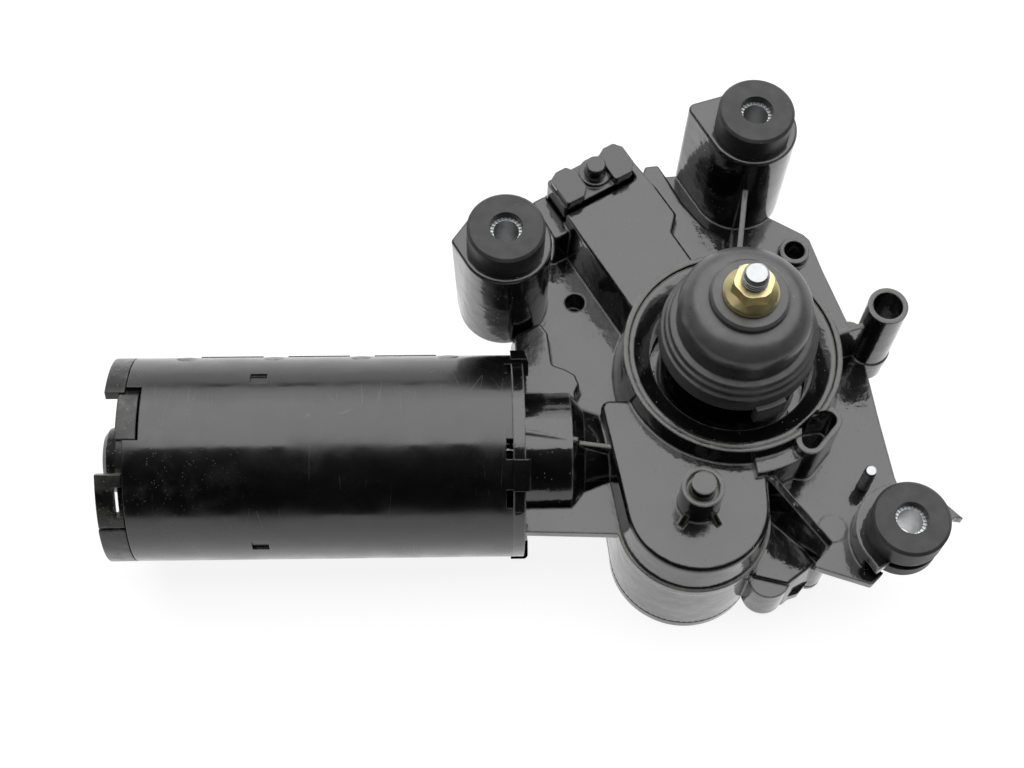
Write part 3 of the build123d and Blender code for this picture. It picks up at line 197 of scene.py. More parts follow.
def satinBlackPaint():
    # satin paint on a rolled steel yoke: broad clean highlights, specks near the rear, hair scratches
    look = yokeLook
    material, tree, shader = newMaterial("satin black paint on rolled steel", Coat_Weight=1.0, Coat_IOR=1.6,
                                         Specular_IOR_Level=0.12)
    place = addNode(tree, "ShaderNodeTexCoord").outputs["Object"]
    away = addNode(tree, "ShaderNodeVectorMath", {1: look["rubPlace"]}, {0: place}, operation="DISTANCE")
    near = addNode(tree, "ShaderNodeMapRange",
                   {"From Min": look["rubRadius"], "From Max": look["rubCore"] * look["rubRadius"],
                    "To Min": look["rubElsewhere"]}, {"Value": away.outputs["Value"]})
    specks = grains(tree, place, look["grainCellMm"], look["grainMm"], look["grainShare"])
    worn = addNode(tree, "ShaderNodeMath", None, {0: near.outputs["Result"], 1: specks},
                   operation="MULTIPLY")
    across, along = perMetre(look["scratchGapMm"]), perMetre(look["scratchLengthMm"])
    stretched = addNode(tree, "ShaderNodeMapping",
                        {"Rotation": look["scratchTurn"], "Scale": (across, along, along)},
                        {"Vector": place})
    cracks = addNode(tree, "ShaderNodeTexVoronoi", {"Scale": 1.0}, {"Vector": stretched.outputs["Vector"]},
                     feature="DISTANCE_TO_EDGE")
    line = addNode(tree, "ShaderNodeMath", {1: look["scratchWidth"]}, {0: cracks.outputs["Distance"]},
                   operation="LESS_THAN")
    some = patches(tree, place, look["scratchPatchMm"], span=(0.56, 0.68), result=(0.0, 0.5), detail=8.0)
    scratches = addNode(tree, "ShaderNodeMath", None, {0: line.outputs["Value"], 1: some},
                        operation="MULTIPLY")
    cloud = patches(tree, place, look["smearMm"], span=(0.48, 0.7), result=(0.0, 1.0), detail=9.0)
    smear = addNode(tree, "ShaderNodeMath", None, {0: near.outputs["Result"], 1: cloud},
                    operation="MULTIPLY")
    smeared = addNode(tree, "ShaderNodeMix", {mixA: linear(look["paint"]), mixB: linear(look["smear"])},
                      {"Factor": smear.outputs["Value"]}, data_type="RGBA")
    specked = addNode(tree, "ShaderNodeMix", {mixB: linear(look["worn"])},
                      {"Factor": worn.outputs["Value"], mixA: smeared.outputs[mixOut]}, data_type="RGBA")
    colour = addNode(tree, "ShaderNodeMix", {mixB: linear(look["scratch"])},
                     {"Factor": scratches.outputs["Value"], mixA: specked.outputs[mixOut]},
                     data_type="RGBA")
    tree.links.new(colour.outputs[mixOut], shader.inputs["Base Color"])
    coat = patches(tree, place, look["coatMm"], span=(0.4, 0.72), result=look["coatRoughness"], detail=7.0)
    tree.links.new(coat, shader.inputs["Coat Roughness"])
    rough = patches(tree, place, look["roughMm"], span=(0.35, 0.7), result=look["roughness"], detail=6.0)
    tree.links.new(rough, shader.inputs["Roughness"])
    fine = addNode(tree, "ShaderNodeTexNoise", {"Scale": perMetre(look["fineMm"])}, {"Vector": place})
    broad = addNode(tree, "ShaderNodeTexNoise", {"Scale": perMetre(look["broadMm"])}, {"Vector": place})
    rounded = addNode(tree, "ShaderNodeBevel", {"Radius": look["edgeMm"] * mm},
                      samples=edgeSamples).outputs["Normal"]
    layers = ((fine.outputs["Fac"], look["fineDepthMm"]), (broad.outputs["Fac"], look["broadDepthMm"]),
              (worn.outputs["Value"], look["wornDepthMm"]))
    surfaceRelief(tree, shader, rounded, layers, coated=True)
    return material


dirtyLook = {
    "paint": "#0c0c0c", "dirt": "#4c4b46", "dirtMm": 5.0, "dirtDepthMm": 0.08, "edgeMm": 0.7,
    "dust": "#8d8b83", "grainCellMm": 0.8, "grainMm": 0.36, "grainShare": 0.6, "dustDepthMm": 0.05,
    "roughness": (0.35, 0.65), "roughMm": 4.0,
}


def dustyBlackPaint():
    # black paint on the pressed rear cap, where road dirt has dried: matt patches, pale dust, dull shine
    look = dirtyLook
    material, tree, shader = newMaterial("dusty black paint on pressed steel", Coat_Weight=0.7,
                                         Coat_Roughness=0.2, Specular_IOR_Level=0.2)
    place = addNode(tree, "ShaderNodeTexCoord").outputs["Object"]
    dirt = patches(tree, place, look["dirtMm"], span=(0.48, 0.72), result=(0.0, 0.7), detail=8.0)
    dirty = addNode(tree, "ShaderNodeMix", {mixA: linear(look["paint"]), mixB: linear(look["dirt"])},
                    {"Factor": dirt}, data_type="RGBA")
    dust = grains(tree, place, look["grainCellMm"], look["grainMm"], look["grainShare"])
    colour = addNode(tree, "ShaderNodeMix", {mixB: linear(look["dust"])},
                     {"Factor": dust, mixA: dirty.outputs[mixOut]}, data_type="RGBA")
    tree.links.new(colour.outputs[mixOut], shader.inputs["Base Color"])
    rough = patches(tree, place, look["roughMm"], span=(0.35, 0.7), result=look["roughness"])
    tree.links.new(rough, shader.inputs["Roughness"])
    rounded = addNode(tree, "ShaderNodeBevel", {"Radius": look["edgeMm"] * mm},
                      samples=edgeSamples).outputs["Normal"]
    surfaceRelief(tree, shader, rounded, ((dirt, look["dirtDepthMm"]), (dust, look["dustDepthMm"])),
                  coated=True)
    return material


# the grommets' rubber is painted darker as painted shade for their flat tops, which face the lamps, and the
# boot's lighter as painted light for its slopes, which face away
grommetLook = {"name": "moulded charcoal rubber", "rubber": "#383838", "bloom": "#444444",
               "dust": "#8a8a86", "gloss": 0.25, "roughness": (0.38, 0.48), "edgeMm": 0.5}
bootLook = {"name": "smooth charcoal rubber", "rubber": "#474747", "bloom": "#525252",
            "dust": "#8a8a86", "gloss": 0.5, "roughness": (0.26, 0.38), "edgeMm": 0.7}
rubberSkin = {
    "bloomMm": 5.0, "grainCellMm": 2.0, "grainMm": 0.36, "grainShare": 0.25, "roughMm": 3.0,
    "skinMm": 0.6, "skinDepthMm": 0.012, "flowMm": 8.0, "flowDepthMm": 0.06,
}


def mouldedRubber(look):
    # moulded rubber: even and soft-looking, with a fine spark-eroded skin and a trace of bloom
    skin = rubberSkin
    material, tree, shader = newMaterial(look["name"], Specular_IOR_Level=look["gloss"])
    place = addNode(tree, "ShaderNodeTexCoord").outputs["Object"]
    pale = patches(tree, place, skin["bloomMm"], span=(0.4, 0.75), result=(0.0, 1.0), detail=5.0)
    bloom = addNode(tree, "ShaderNodeMix", {mixA: linear(look["rubber"]), mixB: linear(look["bloom"])},
                    {"Factor": pale}, data_type="RGBA")
    dust = grains(tree, place, skin["grainCellMm"], skin["grainMm"], skin["grainShare"])
    colour = addNode(tree, "ShaderNodeMix", {mixB: linear(look["dust"])},
                     {"Factor": dust, mixA: bloom.outputs[mixOut]}, data_type="RGBA")
    tree.links.new(colour.outputs[mixOut], shader.inputs["Base Color"])
    rough = patches(tree, place, skin["roughMm"], span=(0.3, 0.7), result=look["roughness"])
    tree.links.new(rough, shader.inputs["Roughness"])
    eroded = addNode(tree, "ShaderNodeTexNoise", {"Scale": perMetre(skin["skinMm"]), "Detail": 3.0},
                     {"Vector": place})
    flow = addNode(tree, "ShaderNodeTexNoise", {"Scale": perMetre(skin["flowMm"])}, {"Vector": place})
    rounded = addNode(tree, "ShaderNodeBevel", {"Radius": look["edgeMm"] * mm},
                      samples=edgeSamples).outputs["Normal"]
    surfaceRelief(tree, shader, rounded, ((eroded.outputs["Fac"], skin["skinDepthMm"]),
                                          (flow.outputs["Fac"], skin["flowDepthMm"])))
    return material


zincLook = {
    "gold": "#c4b989", "pink": "#c09c84", "pinkMm": 5.0, "green": "#a3ab7c", "greenMm": 3.5,
    "roughness": (0.3, 0.4), "roughMm": 1.5, "pitMm": 1.2, "pitDepthMm": 0.006, "edgeMm": 0.15,
}


def yellowZinc():
    # yellow passivated zinc plate: pale gold metal that drifts a little to pink and green
    look = zincLook
    material, tree, shader = newMaterial("yellow passivated zinc plate", Metallic=1.0)
    place = addNode(tree, "ShaderNodeTexCoord").outputs["Object"]
    toPink = patches(tree, place, look["pinkMm"], span=(0.45, 0.7), result=(0.0, 0.7), detail=2.0)
    pink = addNode(tree, "ShaderNodeMix", {mixA: linear(look["gold"]), mixB: linear(look["pink"])},
                   {"Factor": toPink}, data_type="RGBA")
    toGreen = patches(tree, place, look["greenMm"], span=(0.52, 0.75), result=(0.0, 0.8), detail=2.0)
    green = addNode(tree, "ShaderNodeMix", {mixB: linear(look["green"])},
                    {"Factor": toGreen, mixA: pink.outputs[mixOut]}, data_type="RGBA")
    tree.links.new(green.outputs[mixOut], shader.inputs["Base Color"])
    rough = patches(tree, place, look["roughMm"], span=(0.3, 0.7), result=look["roughness"])
    tree.links.new(rough, shader.inputs["Roughness"])
    pits = addNode(tree, "ShaderNodeTexNoise", {"Scale": perMetre(look["pitMm"]), "Detail": 2.0},
                   {"Vector": place})
    rounded = addNode(tree, "ShaderNodeBevel", {"Radius": look["edgeMm"] * mm},
                      samples=edgeSamples).outputs["Normal"]
    surfaceRelief(tree, shader, rounded, ((pits.outputs["Fac"], look["pitDepthMm"]),))
    return material


# flank and end are painted shade on the thread's flanks and a painted highlight on its upward end face
threadLook = {
    "flank": "#3f4042", "end": "#a0a2a3", "upward": (0.2, 0.6), "edgeMm": 0.2,
    "roughness": (0.28, 0.42), "roughMm": 1.2, "pitMm": 0.8, "pitDepthMm": 0.015,
}


def rolledThread():
    # plated steel with a rolled thread: a painted highlight on the upward end face and painted shade on the
    # flanks between the ridges
    look = threadLook
    material, tree, shader = newMaterial("zinc plate on a rolled thread", Metallic=1.0)
    facing = addNode(tree, "ShaderNodeNewGeometry").outputs["Normal"]
    upward = addNode(tree, "ShaderNodeSeparateXYZ", None, {"Vector": facing}).outputs["Z"]
    # painted light and shade: the colour follows how far the surface faces up, lighter on top, darker on the
    # flanks
    litTop = addNode(tree, "ShaderNodeMapRange",
                  {"From Min": look["upward"][0], "From Max": look["upward"][1]}, {"Value": upward})
    colour = addNode(tree, "ShaderNodeMix", {mixA: linear(look["flank"]), mixB: linear(look["end"])},
                     {"Factor": litTop.outputs["Result"]}, data_type="RGBA")
    tree.links.new(colour.outputs[mixOut], shader.inputs["Base Color"])
    place = addNode(tree, "ShaderNodeTexCoord").outputs["Object"]
    rough = patches(tree, place, look["roughMm"], span=(0.3, 0.7), result=look["roughness"])
    tree.links.new(rough, shader.inputs["Roughness"])
    pits = addNode(tree, "ShaderNodeTexNoise", {"Scale": perMetre(look["pitMm"]), "Detail": 2.0},
                   {"Vector": place})
    rounded = addNode(tree, "ShaderNodeBevel", {"Radius": look["edgeMm"] * mm},
                      samples=edgeSamples).outputs["Normal"]
    surfaceRelief(tree, shader, rounded, ((pits.outputs["Fac"], look["pitDepthMm"]),))
    return material


turnedLook = {"stainMm": 5.0, "roughMm": 2.0, "roughSpread": 0.1, "ringWander": 0.4,
              "ringDepthMm": 0.006, "edgeMm": 0.15}


def turnedMetal(name, light, dark, rough, pitchMm, axis="Z"):
    # turned metal: faint tool rings round the axis, a feed apart, with stains
    look = turnedLook
    material, tree, shader = newMaterial(name, Metallic=1.0)
    place = addNode(tree, "ShaderNodeTexCoord").outputs["Object"]
    rings = addNode(tree, "ShaderNodeTexWave",
                    {"Scale": bandsPerMetre(pitchMm), "Distortion": look["ringWander"]},
                    {"Vector": place}, bands_direction=axis)
    stained = patches(tree, place, look["stainMm"], span=(0.45, 0.8), result=(0.0, 0.7), detail=3.0)
    stains = addNode(tree, "ShaderNodeMix", {mixA: linear(light), mixB: linear(dark)},
                     {"Factor": stained}, data_type="RGBA")
    tree.links.new(stains.outputs[mixOut], shader.inputs["Base Color"])
    uneven = patches(tree, place, look["roughMm"], span=(0.3, 0.7),
                     result=(rough, rough + look["roughSpread"]))
    tree.links.new(uneven, shader.inputs["Roughness"])
    rounded = addNode(tree, "ShaderNodeBevel", {"Radius": look["edgeMm"] * mm},
                      samples=edgeSamples).outputs["Normal"]
    surfaceRelief(tree, shader, rounded, ((rings.outputs["Fac"], look["ringDepthMm"]),))
    return material


resinLook = {"flowMm": 8.0, "roughMm": 2.0, "roughSpread": 0.1, "grainMm": 0.7, "grainDepthMm": 0.008,
             "edgeMm": 1.0}


def mouldedResin(name, light, dark, rough):
    # moulded resin: even colour with slight flow marks and a fine texture
    look = resinLook
    material, tree, shader = newMaterial(name, IOR=1.49)
    place = addNode(tree, "ShaderNodeTexCoord").outputs["Object"]
    flow = addNode(tree, "ShaderNodeMix", {mixA: linear(light), mixB: linear(dark)},
                   {"Factor": patches(tree, place, look["flowMm"], span=(0.35, 0.7))}, data_type="RGBA")
    tree.links.new(flow.outputs[mixOut], shader.inputs["Base Color"])
    uneven = patches(tree, place, look["roughMm"], span=(0.3, 0.7),
                     result=(rough, rough + look["roughSpread"]))
    tree.links.new(uneven, shader.inputs["Roughness"])
    grain = addNode(tree, "ShaderNodeTexNoise", {"Scale": perMetre(look["grainMm"])}, {"Vector": place})
    rounded = addNode(tree, "ShaderNodeBevel", {"Radius": look["edgeMm"] * mm},
                      samples=edgeSamples).outputs["Normal"]
    surfaceRelief(tree, shader, rounded, ((grain.outputs["Fac"], look["grainDepthMm"]),))
    return material


capLook = {
    # the edge colour and its greatest share are a painted highlight along the edges
    "resin": "#060607", "flow": "#0d0d0e", "flowMm": 8.0, "edge": "#7c7c79", "edgeMm": 1.0,
    "edgeHighlightPeak": 0.7, "roughness": (0.14, 0.26), "roughMm": 4.0, "grainMm": 2.0, "grainDepthMm": 0.03,
}


def blackResin():
    # moulded black resin: near-black and shiny, with a painted highlight along its edges
    look = capLook
    material, tree, shader = newMaterial("moulded black resin", Coat_Weight=0.6, Coat_Roughness=0.08)
    place = addNode(tree, "ShaderNodeTexCoord").outputs["Object"]
    rounded = addNode(tree, "ShaderNodeBevel", {"Radius": look["edgeMm"] * mm},
                      samples=edgeSamples).outputs["Normal"]
    flow = addNode(tree, "ShaderNodeMix", {mixA: linear(look["resin"]), mixB: linear(look["flow"])},
                   {"Factor": patches(tree, place, look["flowMm"], span=(0.35, 0.7))}, data_type="RGBA")
    # painted highlight along the edges
    highlightedEdges = paintedEdgeHighlight(tree, place, rounded, look["edgeHighlightPeak"])
    colour = addNode(tree, "ShaderNodeMix", {mixB: linear(look["edge"])},
                     {"Factor": highlightedEdges, mixA: flow.outputs[mixOut]}, data_type="RGBA")
    tree.links.new(colour.outputs[mixOut], shader.inputs["Base Color"])
    rough = patches(tree, place, look["roughMm"], span=(0.3, 0.7), result=look["roughness"])
    tree.links.new(rough, shader.inputs["Roughness"])
    grain = addNode(tree, "ShaderNodeTexNoise", {"Scale": perMetre(look["grainMm"])}, {"Vector": place})
    surfaceRelief(tree, shader, rounded, ((grain.outputs["Fac"], look["grainDepthMm"]),), coated=True)
    return material


# core sheets, drawn thicker than real ones so that they show
sheetLook = {"joint": "#55585c", "sheet": "#7d8185", "pitchMm": 1.579, "depthMm": 0.05, "edgeMm": 0.2}


def stackedLaminations():
    # stacked core laminations: thin sheets seen as grey rings along the shaft
    look = sheetLook
    material, tree, shader = newMaterial("stacked core laminations", Metallic=1.0, Roughness=0.4)
    place = addNode(tree, "ShaderNodeTexCoord").outputs["Object"]
    sheets = addNode(tree, "ShaderNodeTexWave", {"Scale": bandsPerMetre(look["pitchMm"])},
                     {"Vector": place}, bands_direction="X").outputs["Fac"]
    colour = addNode(tree, "ShaderNodeMix", {mixA: linear(look["joint"]), mixB: linear(look["sheet"])},
                     {"Factor": sheets}, data_type="RGBA")
    tree.links.new(colour.outputs[mixOut], shader.inputs["Base Color"])
    rounded = addNode(tree, "ShaderNodeBevel", {"Radius": look["edgeMm"] * mm},
                      samples=edgeSamples).outputs["Normal"]
    surfaceRelief(tree, shader, rounded, ((sheets, look["depthMm"]),))
    return material


# winding wire, drawn thicker than real wire so that its turns show
wireLook = {"shade": "#6d2f14", "copper": "#b4602c", "pitchMm": 2.28, "wander": 1.2, "depthMm": 0.2,
            "edgeMm": 0.4}


def enamelledCopper():
    # enamelled copper wire: close, shiny turns round the winding
    look = wireLook
    material, tree, shader = newMaterial("enamelled copper wire", Metallic=0.6, Roughness=0.3,
                                         Coat_Weight=0.6)
    place = addNode(tree, "ShaderNodeTexCoord").outputs["Object"]
    turns = addNode(tree, "ShaderNodeTexWave",
                    {"Scale": bandsPerMetre(look["pitchMm"], diagonal=True), "Distortion": look["wander"]},
                    {"Vector": place}, bands_direction="DIAGONAL").outputs["Fac"]
    colour = addNode(tree, "ShaderNodeMix", {mixA: linear(look["shade"]), mixB: linear(look["copper"])},
                     {"Factor": turns}, data_type="RGBA")
    tree.links.new(colour.outputs[mixOut], shader.inputs["Base Color"])
    rounded = addNode(tree, "ShaderNodeBevel", {"Radius": look["edgeMm"] * mm},
                      samples=edgeSamples).outputs["Normal"]
    surfaceRelief(tree, shader, rounded, ((turns, look["depthMm"]),))
    return material


finish = {
    "satin_black_steel": satinBlackPaint(),
    "black_casting": blackElectrocoat(),
    "grey_rubber": mouldedRubber(grommetLook),
    "yellow_zinc": yellowZinc(),
    "bright_zinc": turnedMetal("bright zinc plate on turned steel", "#c3c5c6", "#9c9ea0", rough=0.42,
                               pitchMm=0.592),
    "ground_steel": turnedMetal("ground steel", "#b9bbbd", "#7f8285", rough=0.2, pitchMm=0.4935, axis="X"),
    "sintered_bronze": turnedMetal("oil filled sintered bronze", "#a98350", "#6b4d27", rough=0.42,
                                   pitchMm=0.987),
    "ferrite": mouldedResin("sintered ferrite", "#2a2b2e", "#1d1e20", rough=0.55),
    "laminated_steel": stackedLaminations(),
    "enamelled_copper": enamelledCopper(),
    "copper": turnedMetal("bare copper bars", "#c98355", "#8e4f2b", rough=0.28, pitchMm=0.3948, axis="X"),
    "carbon": mouldedResin("pressed carbon", "#262626", "#191919", rough=0.6),
    "brass_strip": turnedMetal("stamped brass strip", "#c9ad63", "#94783a", rough=0.28, pitchMm=0.79),
    "spring_steel": turnedMetal("drawn spring wire", "#a3a6a9", "#6c6f72", rough=0.28, pitchMm=0.592),
    "board": mouldedResin("phenolic laminate", "#6a513b", "#4a3626", rough=0.45),
    "wheel_resin": mouldedResin("acetal resin", "#e0dccd", "#cfc9b6", rough=0.35),
    "black_resin": blackResin(),
    "gasket": mouldedResin("nitrile gasket sheet", "#2d2e2e", "#232424", rough=0.6),
}
threaded = rolledThread()
ownFinish = {"end_cap": dustyBlackPaint(), "rubber_boot": mouldedRubber(bootLook),
             "output_shaft": threaded, "ground_stud": threaded}
for part in frame["record"]["subparts"]:
    for materialSlot in nodes[part["node"]].material_slots:
        materialSlot.material = ownFinish.get(part["node"], finish[part["material_slot"]])
print("materials on", len(nodes), "nodes")


def newTree(name, inputs):
    # an empty Geometry Nodes tree with named sizes, a material and one geometry output
    tree = bpy.data.node_groups.new(name, "GeometryNodeTree")
    for label, value in inputs.items():
        kind = "NodeSocketInt" if isinstance(value, int) else "NodeSocketFloat"
        tree.interface.new_socket(label, in_out="INPUT", socket_type=kind).default_value = value
    tree.interface.new_socket("Material", in_out="INPUT", socket_type="NodeSocketMaterial")
    tree.interface.new_socket("Geometry", in_out="OUTPUT", socket_type="NodeSocketGeometry")
    return tree, addNode(tree, "NodeGroupInput").outputs


def closeTree(tree, sizes, geometry):
    # every tree ends in real geometry with its material set
    whole = addNode(tree, "GeometryNodeRealizeInstances", None, {"Geometry": geometry})
    painted = addNode(tree, "GeometryNodeSetMaterial", None,
                      {"Geometry": whole.outputs[0], "Material": sizes["Material"]})
    addNode(tree, "NodeGroupOutput", None, {"Geometry": painted.outputs[0]})
    return tree


def grown(name, tree, values, place):
    # the tree's geometry as a plain mesh object at the origin
    host = bpy.data.objects.new(name + "Host", bpy.data.meshes.new(name + "Host"))
    bpy.context.scene.collection.objects.link(host)
    modifier = host.modifiers.new("grow", "NODES")
    modifier.node_group = tree
    for item in tree.interface.items_tree:
        if item.in_out == "INPUT" and item.name in values:
            modifier[item.identifier] = values[item.name]
    bpy.context.view_layer.update()
    evaluated = host.evaluated_get(bpy.context.evaluated_depsgraph_get())
    mesh = bpy.data.meshes.new_from_object(evaluated)
    mesh.transform(place)
    bpy.data.objects.remove(host)
    piece = bpy.data.objects.new(name, mesh)
    bpy.context.scene.collection.objects.link(piece)
    return piece


def threadTree():
    # ridge of a screw thread: a helix swept with a square turned on its corner
    tree, sizes = newTree("threadRidge", {"Radius": 4 * mm, "Pitch": 1.25 * mm, "Length": 4 * mm,
                                          "Ridge": 0.4 * mm})
    turns = addNode(tree, "ShaderNodeMath", None, {0: sizes["Length"], 1: sizes["Pitch"]},
                    operation="DIVIDE")
    helix = addNode(tree, "GeometryNodeCurveSpiral", {"Resolution": 48},
                    {"Rotations": turns.outputs[0], "Start Radius": sizes["Radius"],
                     "End Radius": sizes["Radius"], "Height": sizes["Length"]})
    section = addNode(tree, "GeometryNodeCurvePrimitiveCircle", {"Resolution": 4},
                      {"Radius": sizes["Ridge"]})
    ridge = addNode(tree, "GeometryNodeCurveToMesh", {"Fill Caps": True},
                    {"Curve": helix.outputs[0], "Profile Curve": section.outputs["Curve"]})
    return closeTree(tree, sizes, ridge.outputs[0])


# millimetres; each ridge climbs along Z round its node and stops as far below the node's top as it says
threads = {
    "shaftThread": {"node": "output_shaft", "body": "output", "radius": 3.9, "pitch": 1.25,
                    "length": 3.6, "ridge": 0.34, "below": 1.0, "slot": "bright_zinc"},
    "studThread": {"node": "ground_stud", "body": "housing", "radius": 1.9, "pitch": 0.7,
                   "length": 11.6, "ridge": 0.24, "below": 1.2, "slot": "bright_zinc"},
}
ridgeTree = threadTree()
for name, values in threads.items():
    low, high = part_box(values["node"])
    start = high.z - (values["below"] + values["length"]) * mm
    piece = grown(name, ridgeTree, {
        "Radius": values["radius"] * mm, "Pitch": values["pitch"] * mm, "Length": values["length"] * mm,
        "Ridge": values["ridge"] * mm, "Material": finish[values["slot"]]},
        Matrix.Translation(((low.x + high.x) / 2, (low.y + high.y) / 2, start)))
    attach(piece, values["body"])
print("threads made")


def serrationTree():
    # crown of small teeth standing on the end of a tube
    tree, sizes = newTree("serratedEnd", {"Count": 30, "Radius": 5 * mm, "Width": 0.5 * mm,
                                          "Depth": 1 * mm, "Height": 0.4 * mm})
    ring = addNode(tree, "GeometryNodeMeshCircle", None,
                   {"Vertices": sizes["Count"], "Radius": sizes["Radius"]})
    extent = addNode(tree, "ShaderNodeCombineXYZ", None,
                     {"X": sizes["Depth"], "Y": sizes["Width"], "Z": sizes["Height"]})
    tooth = addNode(tree, "GeometryNodeMeshCube", None, {"Size": extent.outputs["Vector"]})
    outward = addNode(tree, "GeometryNodeInputPosition").outputs["Position"]
    turn = addNode(tree, "FunctionNodeAlignRotationToVector", None, {"Vector": outward},
                   axis="X", pivot_axis="Z")
    teeth = addNode(tree, "GeometryNodeInstanceOnPoints", None,
                    {"Points": ring.outputs["Mesh"], "Instance": tooth.outputs["Mesh"],
                     "Rotation": turn.outputs["Rotation"]})
    return closeTree(tree, sizes, teeth.outputs["Instances"])


# the sleeves' upper ends are serrated, so that they bite into the washer above them; millimetres
serration = {"count": 24, "width": 0.7, "height": 0.7, "boreRadius": 4.2, "slot": "bright_zinc"}
crownTree = serrationTree()
for side in ("left", "back", "front"):
    low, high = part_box("sleeve_" + side)
    outer = (high.x - low.x) / 2
    wall = outer - serration["boreRadius"] * mm
    piece = grown("serration" + side.capitalize(), crownTree, {
        "Count": serration["count"], "Radius": outer - wall / 2, "Width": serration["width"] * mm,
        "Depth": wall, "Height": serration["height"] * mm, "Material": finish[serration["slot"]]},
        Matrix.Translation(((low.x + high.x) / 2, (low.y + high.y) / 2, high.z)))
    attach(piece, "housing")
print("serrations made")


# shapes of one unit, which a row scales to its length, width and height
rowShapes = {"GeometryNodeMeshCube": {},
             "GeometryNodeMeshUVSphere": {"Radius": 0.5, "Segments": 32, "Rings": 16}}


def rowTree(name, kind):
    # equal pieces in a row along X, each a block or a flattened ball
    tree, sizes = newTree(name, {"Count": 4, "Pitch": 29 * mm, "Length": 7 * mm, "Width": 3 * mm,
                                 "Height": 1 * mm})
    step = addNode(tree, "ShaderNodeCombineXYZ", None, {"X": sizes["Pitch"]})
    row = addNode(tree, "GeometryNodeMeshLine", None,
                  {"Count": sizes["Count"], "Offset": step.outputs["Vector"]})
    extent = addNode(tree, "ShaderNodeCombineXYZ", None,
                     {"X": sizes["Length"], "Y": sizes["Width"], "Z": sizes["Height"]})
    shape = addNode(tree, kind, rowShapes[kind])
    placed = addNode(tree, "GeometryNodeInstanceOnPoints", None,
                     {"Points": row.outputs["Mesh"], "Instance": shape.outputs["Mesh"],
                      "Scale": extent.outputs["Vector"]})
    return closeTree(tree, sizes, placed.outputs["Instances"])


# the yoke is rolled from sheet: its seam is a fine raised line held by four flattened clinches; sizes in
# millimetres, and angles in degrees up from level at the far side of the yoke
seam = {
    "count": 4, "pitch": 29.0, "fromRear": 16.8,
    "clinch": {"length": 7.4, "width": 6.0, "height": 0.9, "sink": 0.15, "angle": 35.0},
    "line": {"width": 1.2, "height": 0.9, "sink": 0.15, "angle": 25.0, "gap": 1.0},
}


def alongSeam(fromRear, size):
    # a frame on the yoke's skin at the seam: X along the motor, Z outward
    low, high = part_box("yoke_can")
    middle = (low + high) / 2
    turn = math.radians(size["angle"])
    reach = (high.z - low.z) / 2 - size["sink"] * mm
    spot = Vector((low.x + fromRear * mm, middle.y + reach * math.cos(turn),
                   middle.z + reach * math.sin(turn)))
    return Matrix.Translation(spot) @ Matrix.Rotation(turn - math.pi / 2, 4, "X")


wornLook = {"steel": "#8e8e8d", "paint": "#3c3c3b", "patchMm": 2.5, "edgeMm": 0.4}


def wornSteel():
    # steel with its paint pressed off: dull grey metal, a little darker where some paint is left
    look = wornLook
    material, tree, shader = newMaterial("worn steel clinch", Metallic=1.0, Roughness=0.38)
    place = addNode(tree, "ShaderNodeTexCoord").outputs["Object"]
    left = patches(tree, place, look["patchMm"], span=(0.5, 0.75))
    colour = addNode(tree, "ShaderNodeMix", {mixA: linear(look["steel"]), mixB: linear(look["paint"])},
                     {"Factor": left}, data_type="RGBA")
    tree.links.new(colour.outputs[mixOut], shader.inputs["Base Color"])
    rounded = addNode(tree, "ShaderNodeBevel", {"Radius": look["edgeMm"] * mm},
                      samples=edgeSamples).outputs["Normal"]
    surfaceRelief(tree, shader, rounded, ())
    return material


clinch, line = seam["clinch"], seam["line"]
rows = {
    "seamClinches": {"kind": "GeometryNodeMeshUVSphere", "count": seam["count"],
                     "length": clinch["length"], "size": clinch, "start": seam["fromRear"],
                     "material": wornSteel()},
    "seamLine": {"kind": "GeometryNodeMeshCube", "count": seam["count"] - 1,
                 "length": seam["pitch"] - clinch["length"] - line["gap"], "size": line,
                 "start": seam["fromRear"] + seam["pitch"] / 2, "material": finish["satin_black_steel"]},
}
for name, values in rows.items():
    size = values["size"]
    piece = grown(name, rowTree(name, values["kind"]), {
        "Count": values["count"], "Pitch": seam["pitch"] * mm, "Length": values["length"] * mm,
        "Width": size["width"] * mm, "Height": size["height"] * mm, "Material": values["material"]},
        alongSeam(values["start"], size))
    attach(piece, "housing")
print("yoke seam made")


# the place in metres, the lens and the sensor in millimetres; the axes are the rows of the camera's turn
cameraLook = {
    "place": (-0.0919, -0.2591, 0.4769), "lens": 62.26, "sensor": 36.0, "nearest": 0.01,
    "axes": ((0.9995, 0.0094, -0.0312), (-0.0218, 0.9045, -0.4260), (0.0243, 0.4265, 0.9042)),
}
camera = bpy.data.objects.new("camera", bpy.data.cameras.new("camera"))
camera.data.lens = cameraLook["lens"]
camera.data.sensor_width = cameraLook["sensor"]
camera.data.clip_start = cameraLook["nearest"]
camera.matrix_world = Matrix.Translation(cameraLook["place"]) @ Matrix(cameraLook["axes"]).to_4x4()
bpy.context.scene.collection.objects.link(camera)
bpy.context.scene.camera = camera

# three panels in one sloping plane, in metres: each (start, end, share of the brightness) from the near edge
panelLook = {"nearEdge": (-0.2545, 1.205), "slope": -10.4, "width": 2.2, "radiance": 2.8,
             "panels": ((0.0, 1.3, 1.0), (1.3, 1.7, 0.82), (1.7, 2.15, 0.6))}
slope = math.radians(panelLook["slope"])
nearY, nearZ = panelLook["nearEdge"]
for start, end, share in panelLook["panels"]:
    lamp = bpy.data.lights.new("overheadPanel", "AREA")
    lamp.shape = "RECTANGLE"
    lamp.size, lamp.size_y = panelLook["width"], end - start
    lamp.energy = math.pi * panelLook["radiance"] * share * lamp.size * lamp.size_y
    holder = bpy.data.objects.new("overheadPanel", lamp)
    middle = (start + end) / 2
    holder.location = (0.0, nearY + middle * math.cos(slope), nearZ + middle * math.sin(slope))
    holder.rotation_euler = (slope, 0.0, 0.0)
    bpy.context.scene.collection.objects.link(holder)

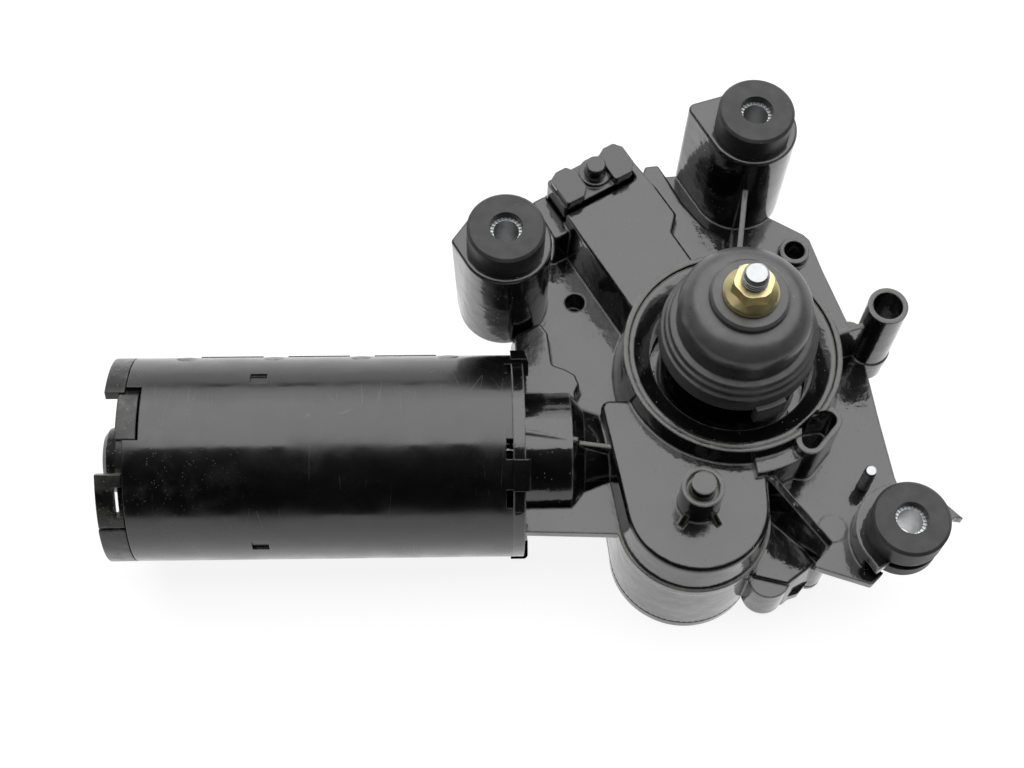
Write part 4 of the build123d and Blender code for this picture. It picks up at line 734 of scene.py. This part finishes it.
# the room: white low down at the back, dark elsewhere, where the panels don't reach; up leans to the front
room = {"up": (0.0, -0.33, 1.0), "whiteBelow": 0.0, "darkAbove": 0.06, "dark": 0.02}
world = bpy.data.worlds.new("studio")
bpy.context.scene.world = world
world.use_nodes = True
tree = world.node_tree
direction = addNode(tree, "ShaderNodeTexCoord").outputs["Generated"]
height = addNode(tree, "ShaderNodeVectorMath", {1: room["up"]}, {0: direction}, operation="DOT_PRODUCT")
backdrop = addNode(tree, "ShaderNodeMapRange", {"From Min": room["whiteBelow"],
                                                "From Max": room["darkAbove"],
                                                "To Min": 1.0, "To Max": room["dark"]},
                   {"Value": height.outputs["Value"]})
rays = addNode(tree, "ShaderNodeLightPath").outputs
strength = addNode(tree, "ShaderNodeMath", None,
                   {0: backdrop.outputs["Result"], 1: rays["Is Camera Ray"]}, operation="MAXIMUM")
tree.links.new(strength.outputs["Value"], tree.nodes["Background"].inputs["Strength"])
tree.nodes["Background"].inputs["Color"].default_value = (1, 1, 1, 1)

# white paper: its grey colour bounces little light, and a lift that only the camera and mirrors see
# makes it white
floorLook = {"halfWidth": 4.0, "colour": "#7a7a7a", "lift": 0.89}
floorMesh = bpy.data.meshes.new("floor")
edge = floorLook["halfWidth"]
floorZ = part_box("gear_cover")[0].z
floorMesh.from_pydata([(-edge, -edge, floorZ), (edge, -edge, floorZ), (edge, edge, floorZ),
                       (-edge, edge, floorZ)], [], [(0, 1, 2, 3)])
floor = bpy.data.objects.new("floor", floorMesh)
bpy.context.scene.collection.objects.link(floor)
floorMaterial, tree, shader = newMaterial("plain white paper", Roughness=0.9, Specular_IOR_Level=0.0)
shader.inputs["Base Color"].default_value = linear(floorLook["colour"])
rays = addNode(tree, "ShaderNodeLightPath").outputs
seen = addNode(tree, "ShaderNodeMath", None, {0: rays["Is Camera Ray"], 1: rays["Is Glossy Ray"]},
               operation="MAXIMUM")
lift = addNode(tree, "ShaderNodeMath", {1: floorLook["lift"]}, {0: seen.outputs[0]},
               operation="MULTIPLY")
shader.inputs["Emission Color"].default_value = (1, 1, 1, 1)
tree.links.new(lift.outputs[0], shader.inputs["Emission Strength"])
floorMesh.materials.append(floorMaterial)
bpy.context.scene.view_settings.view_transform = "Standard"
print("camera, lights and floor set")
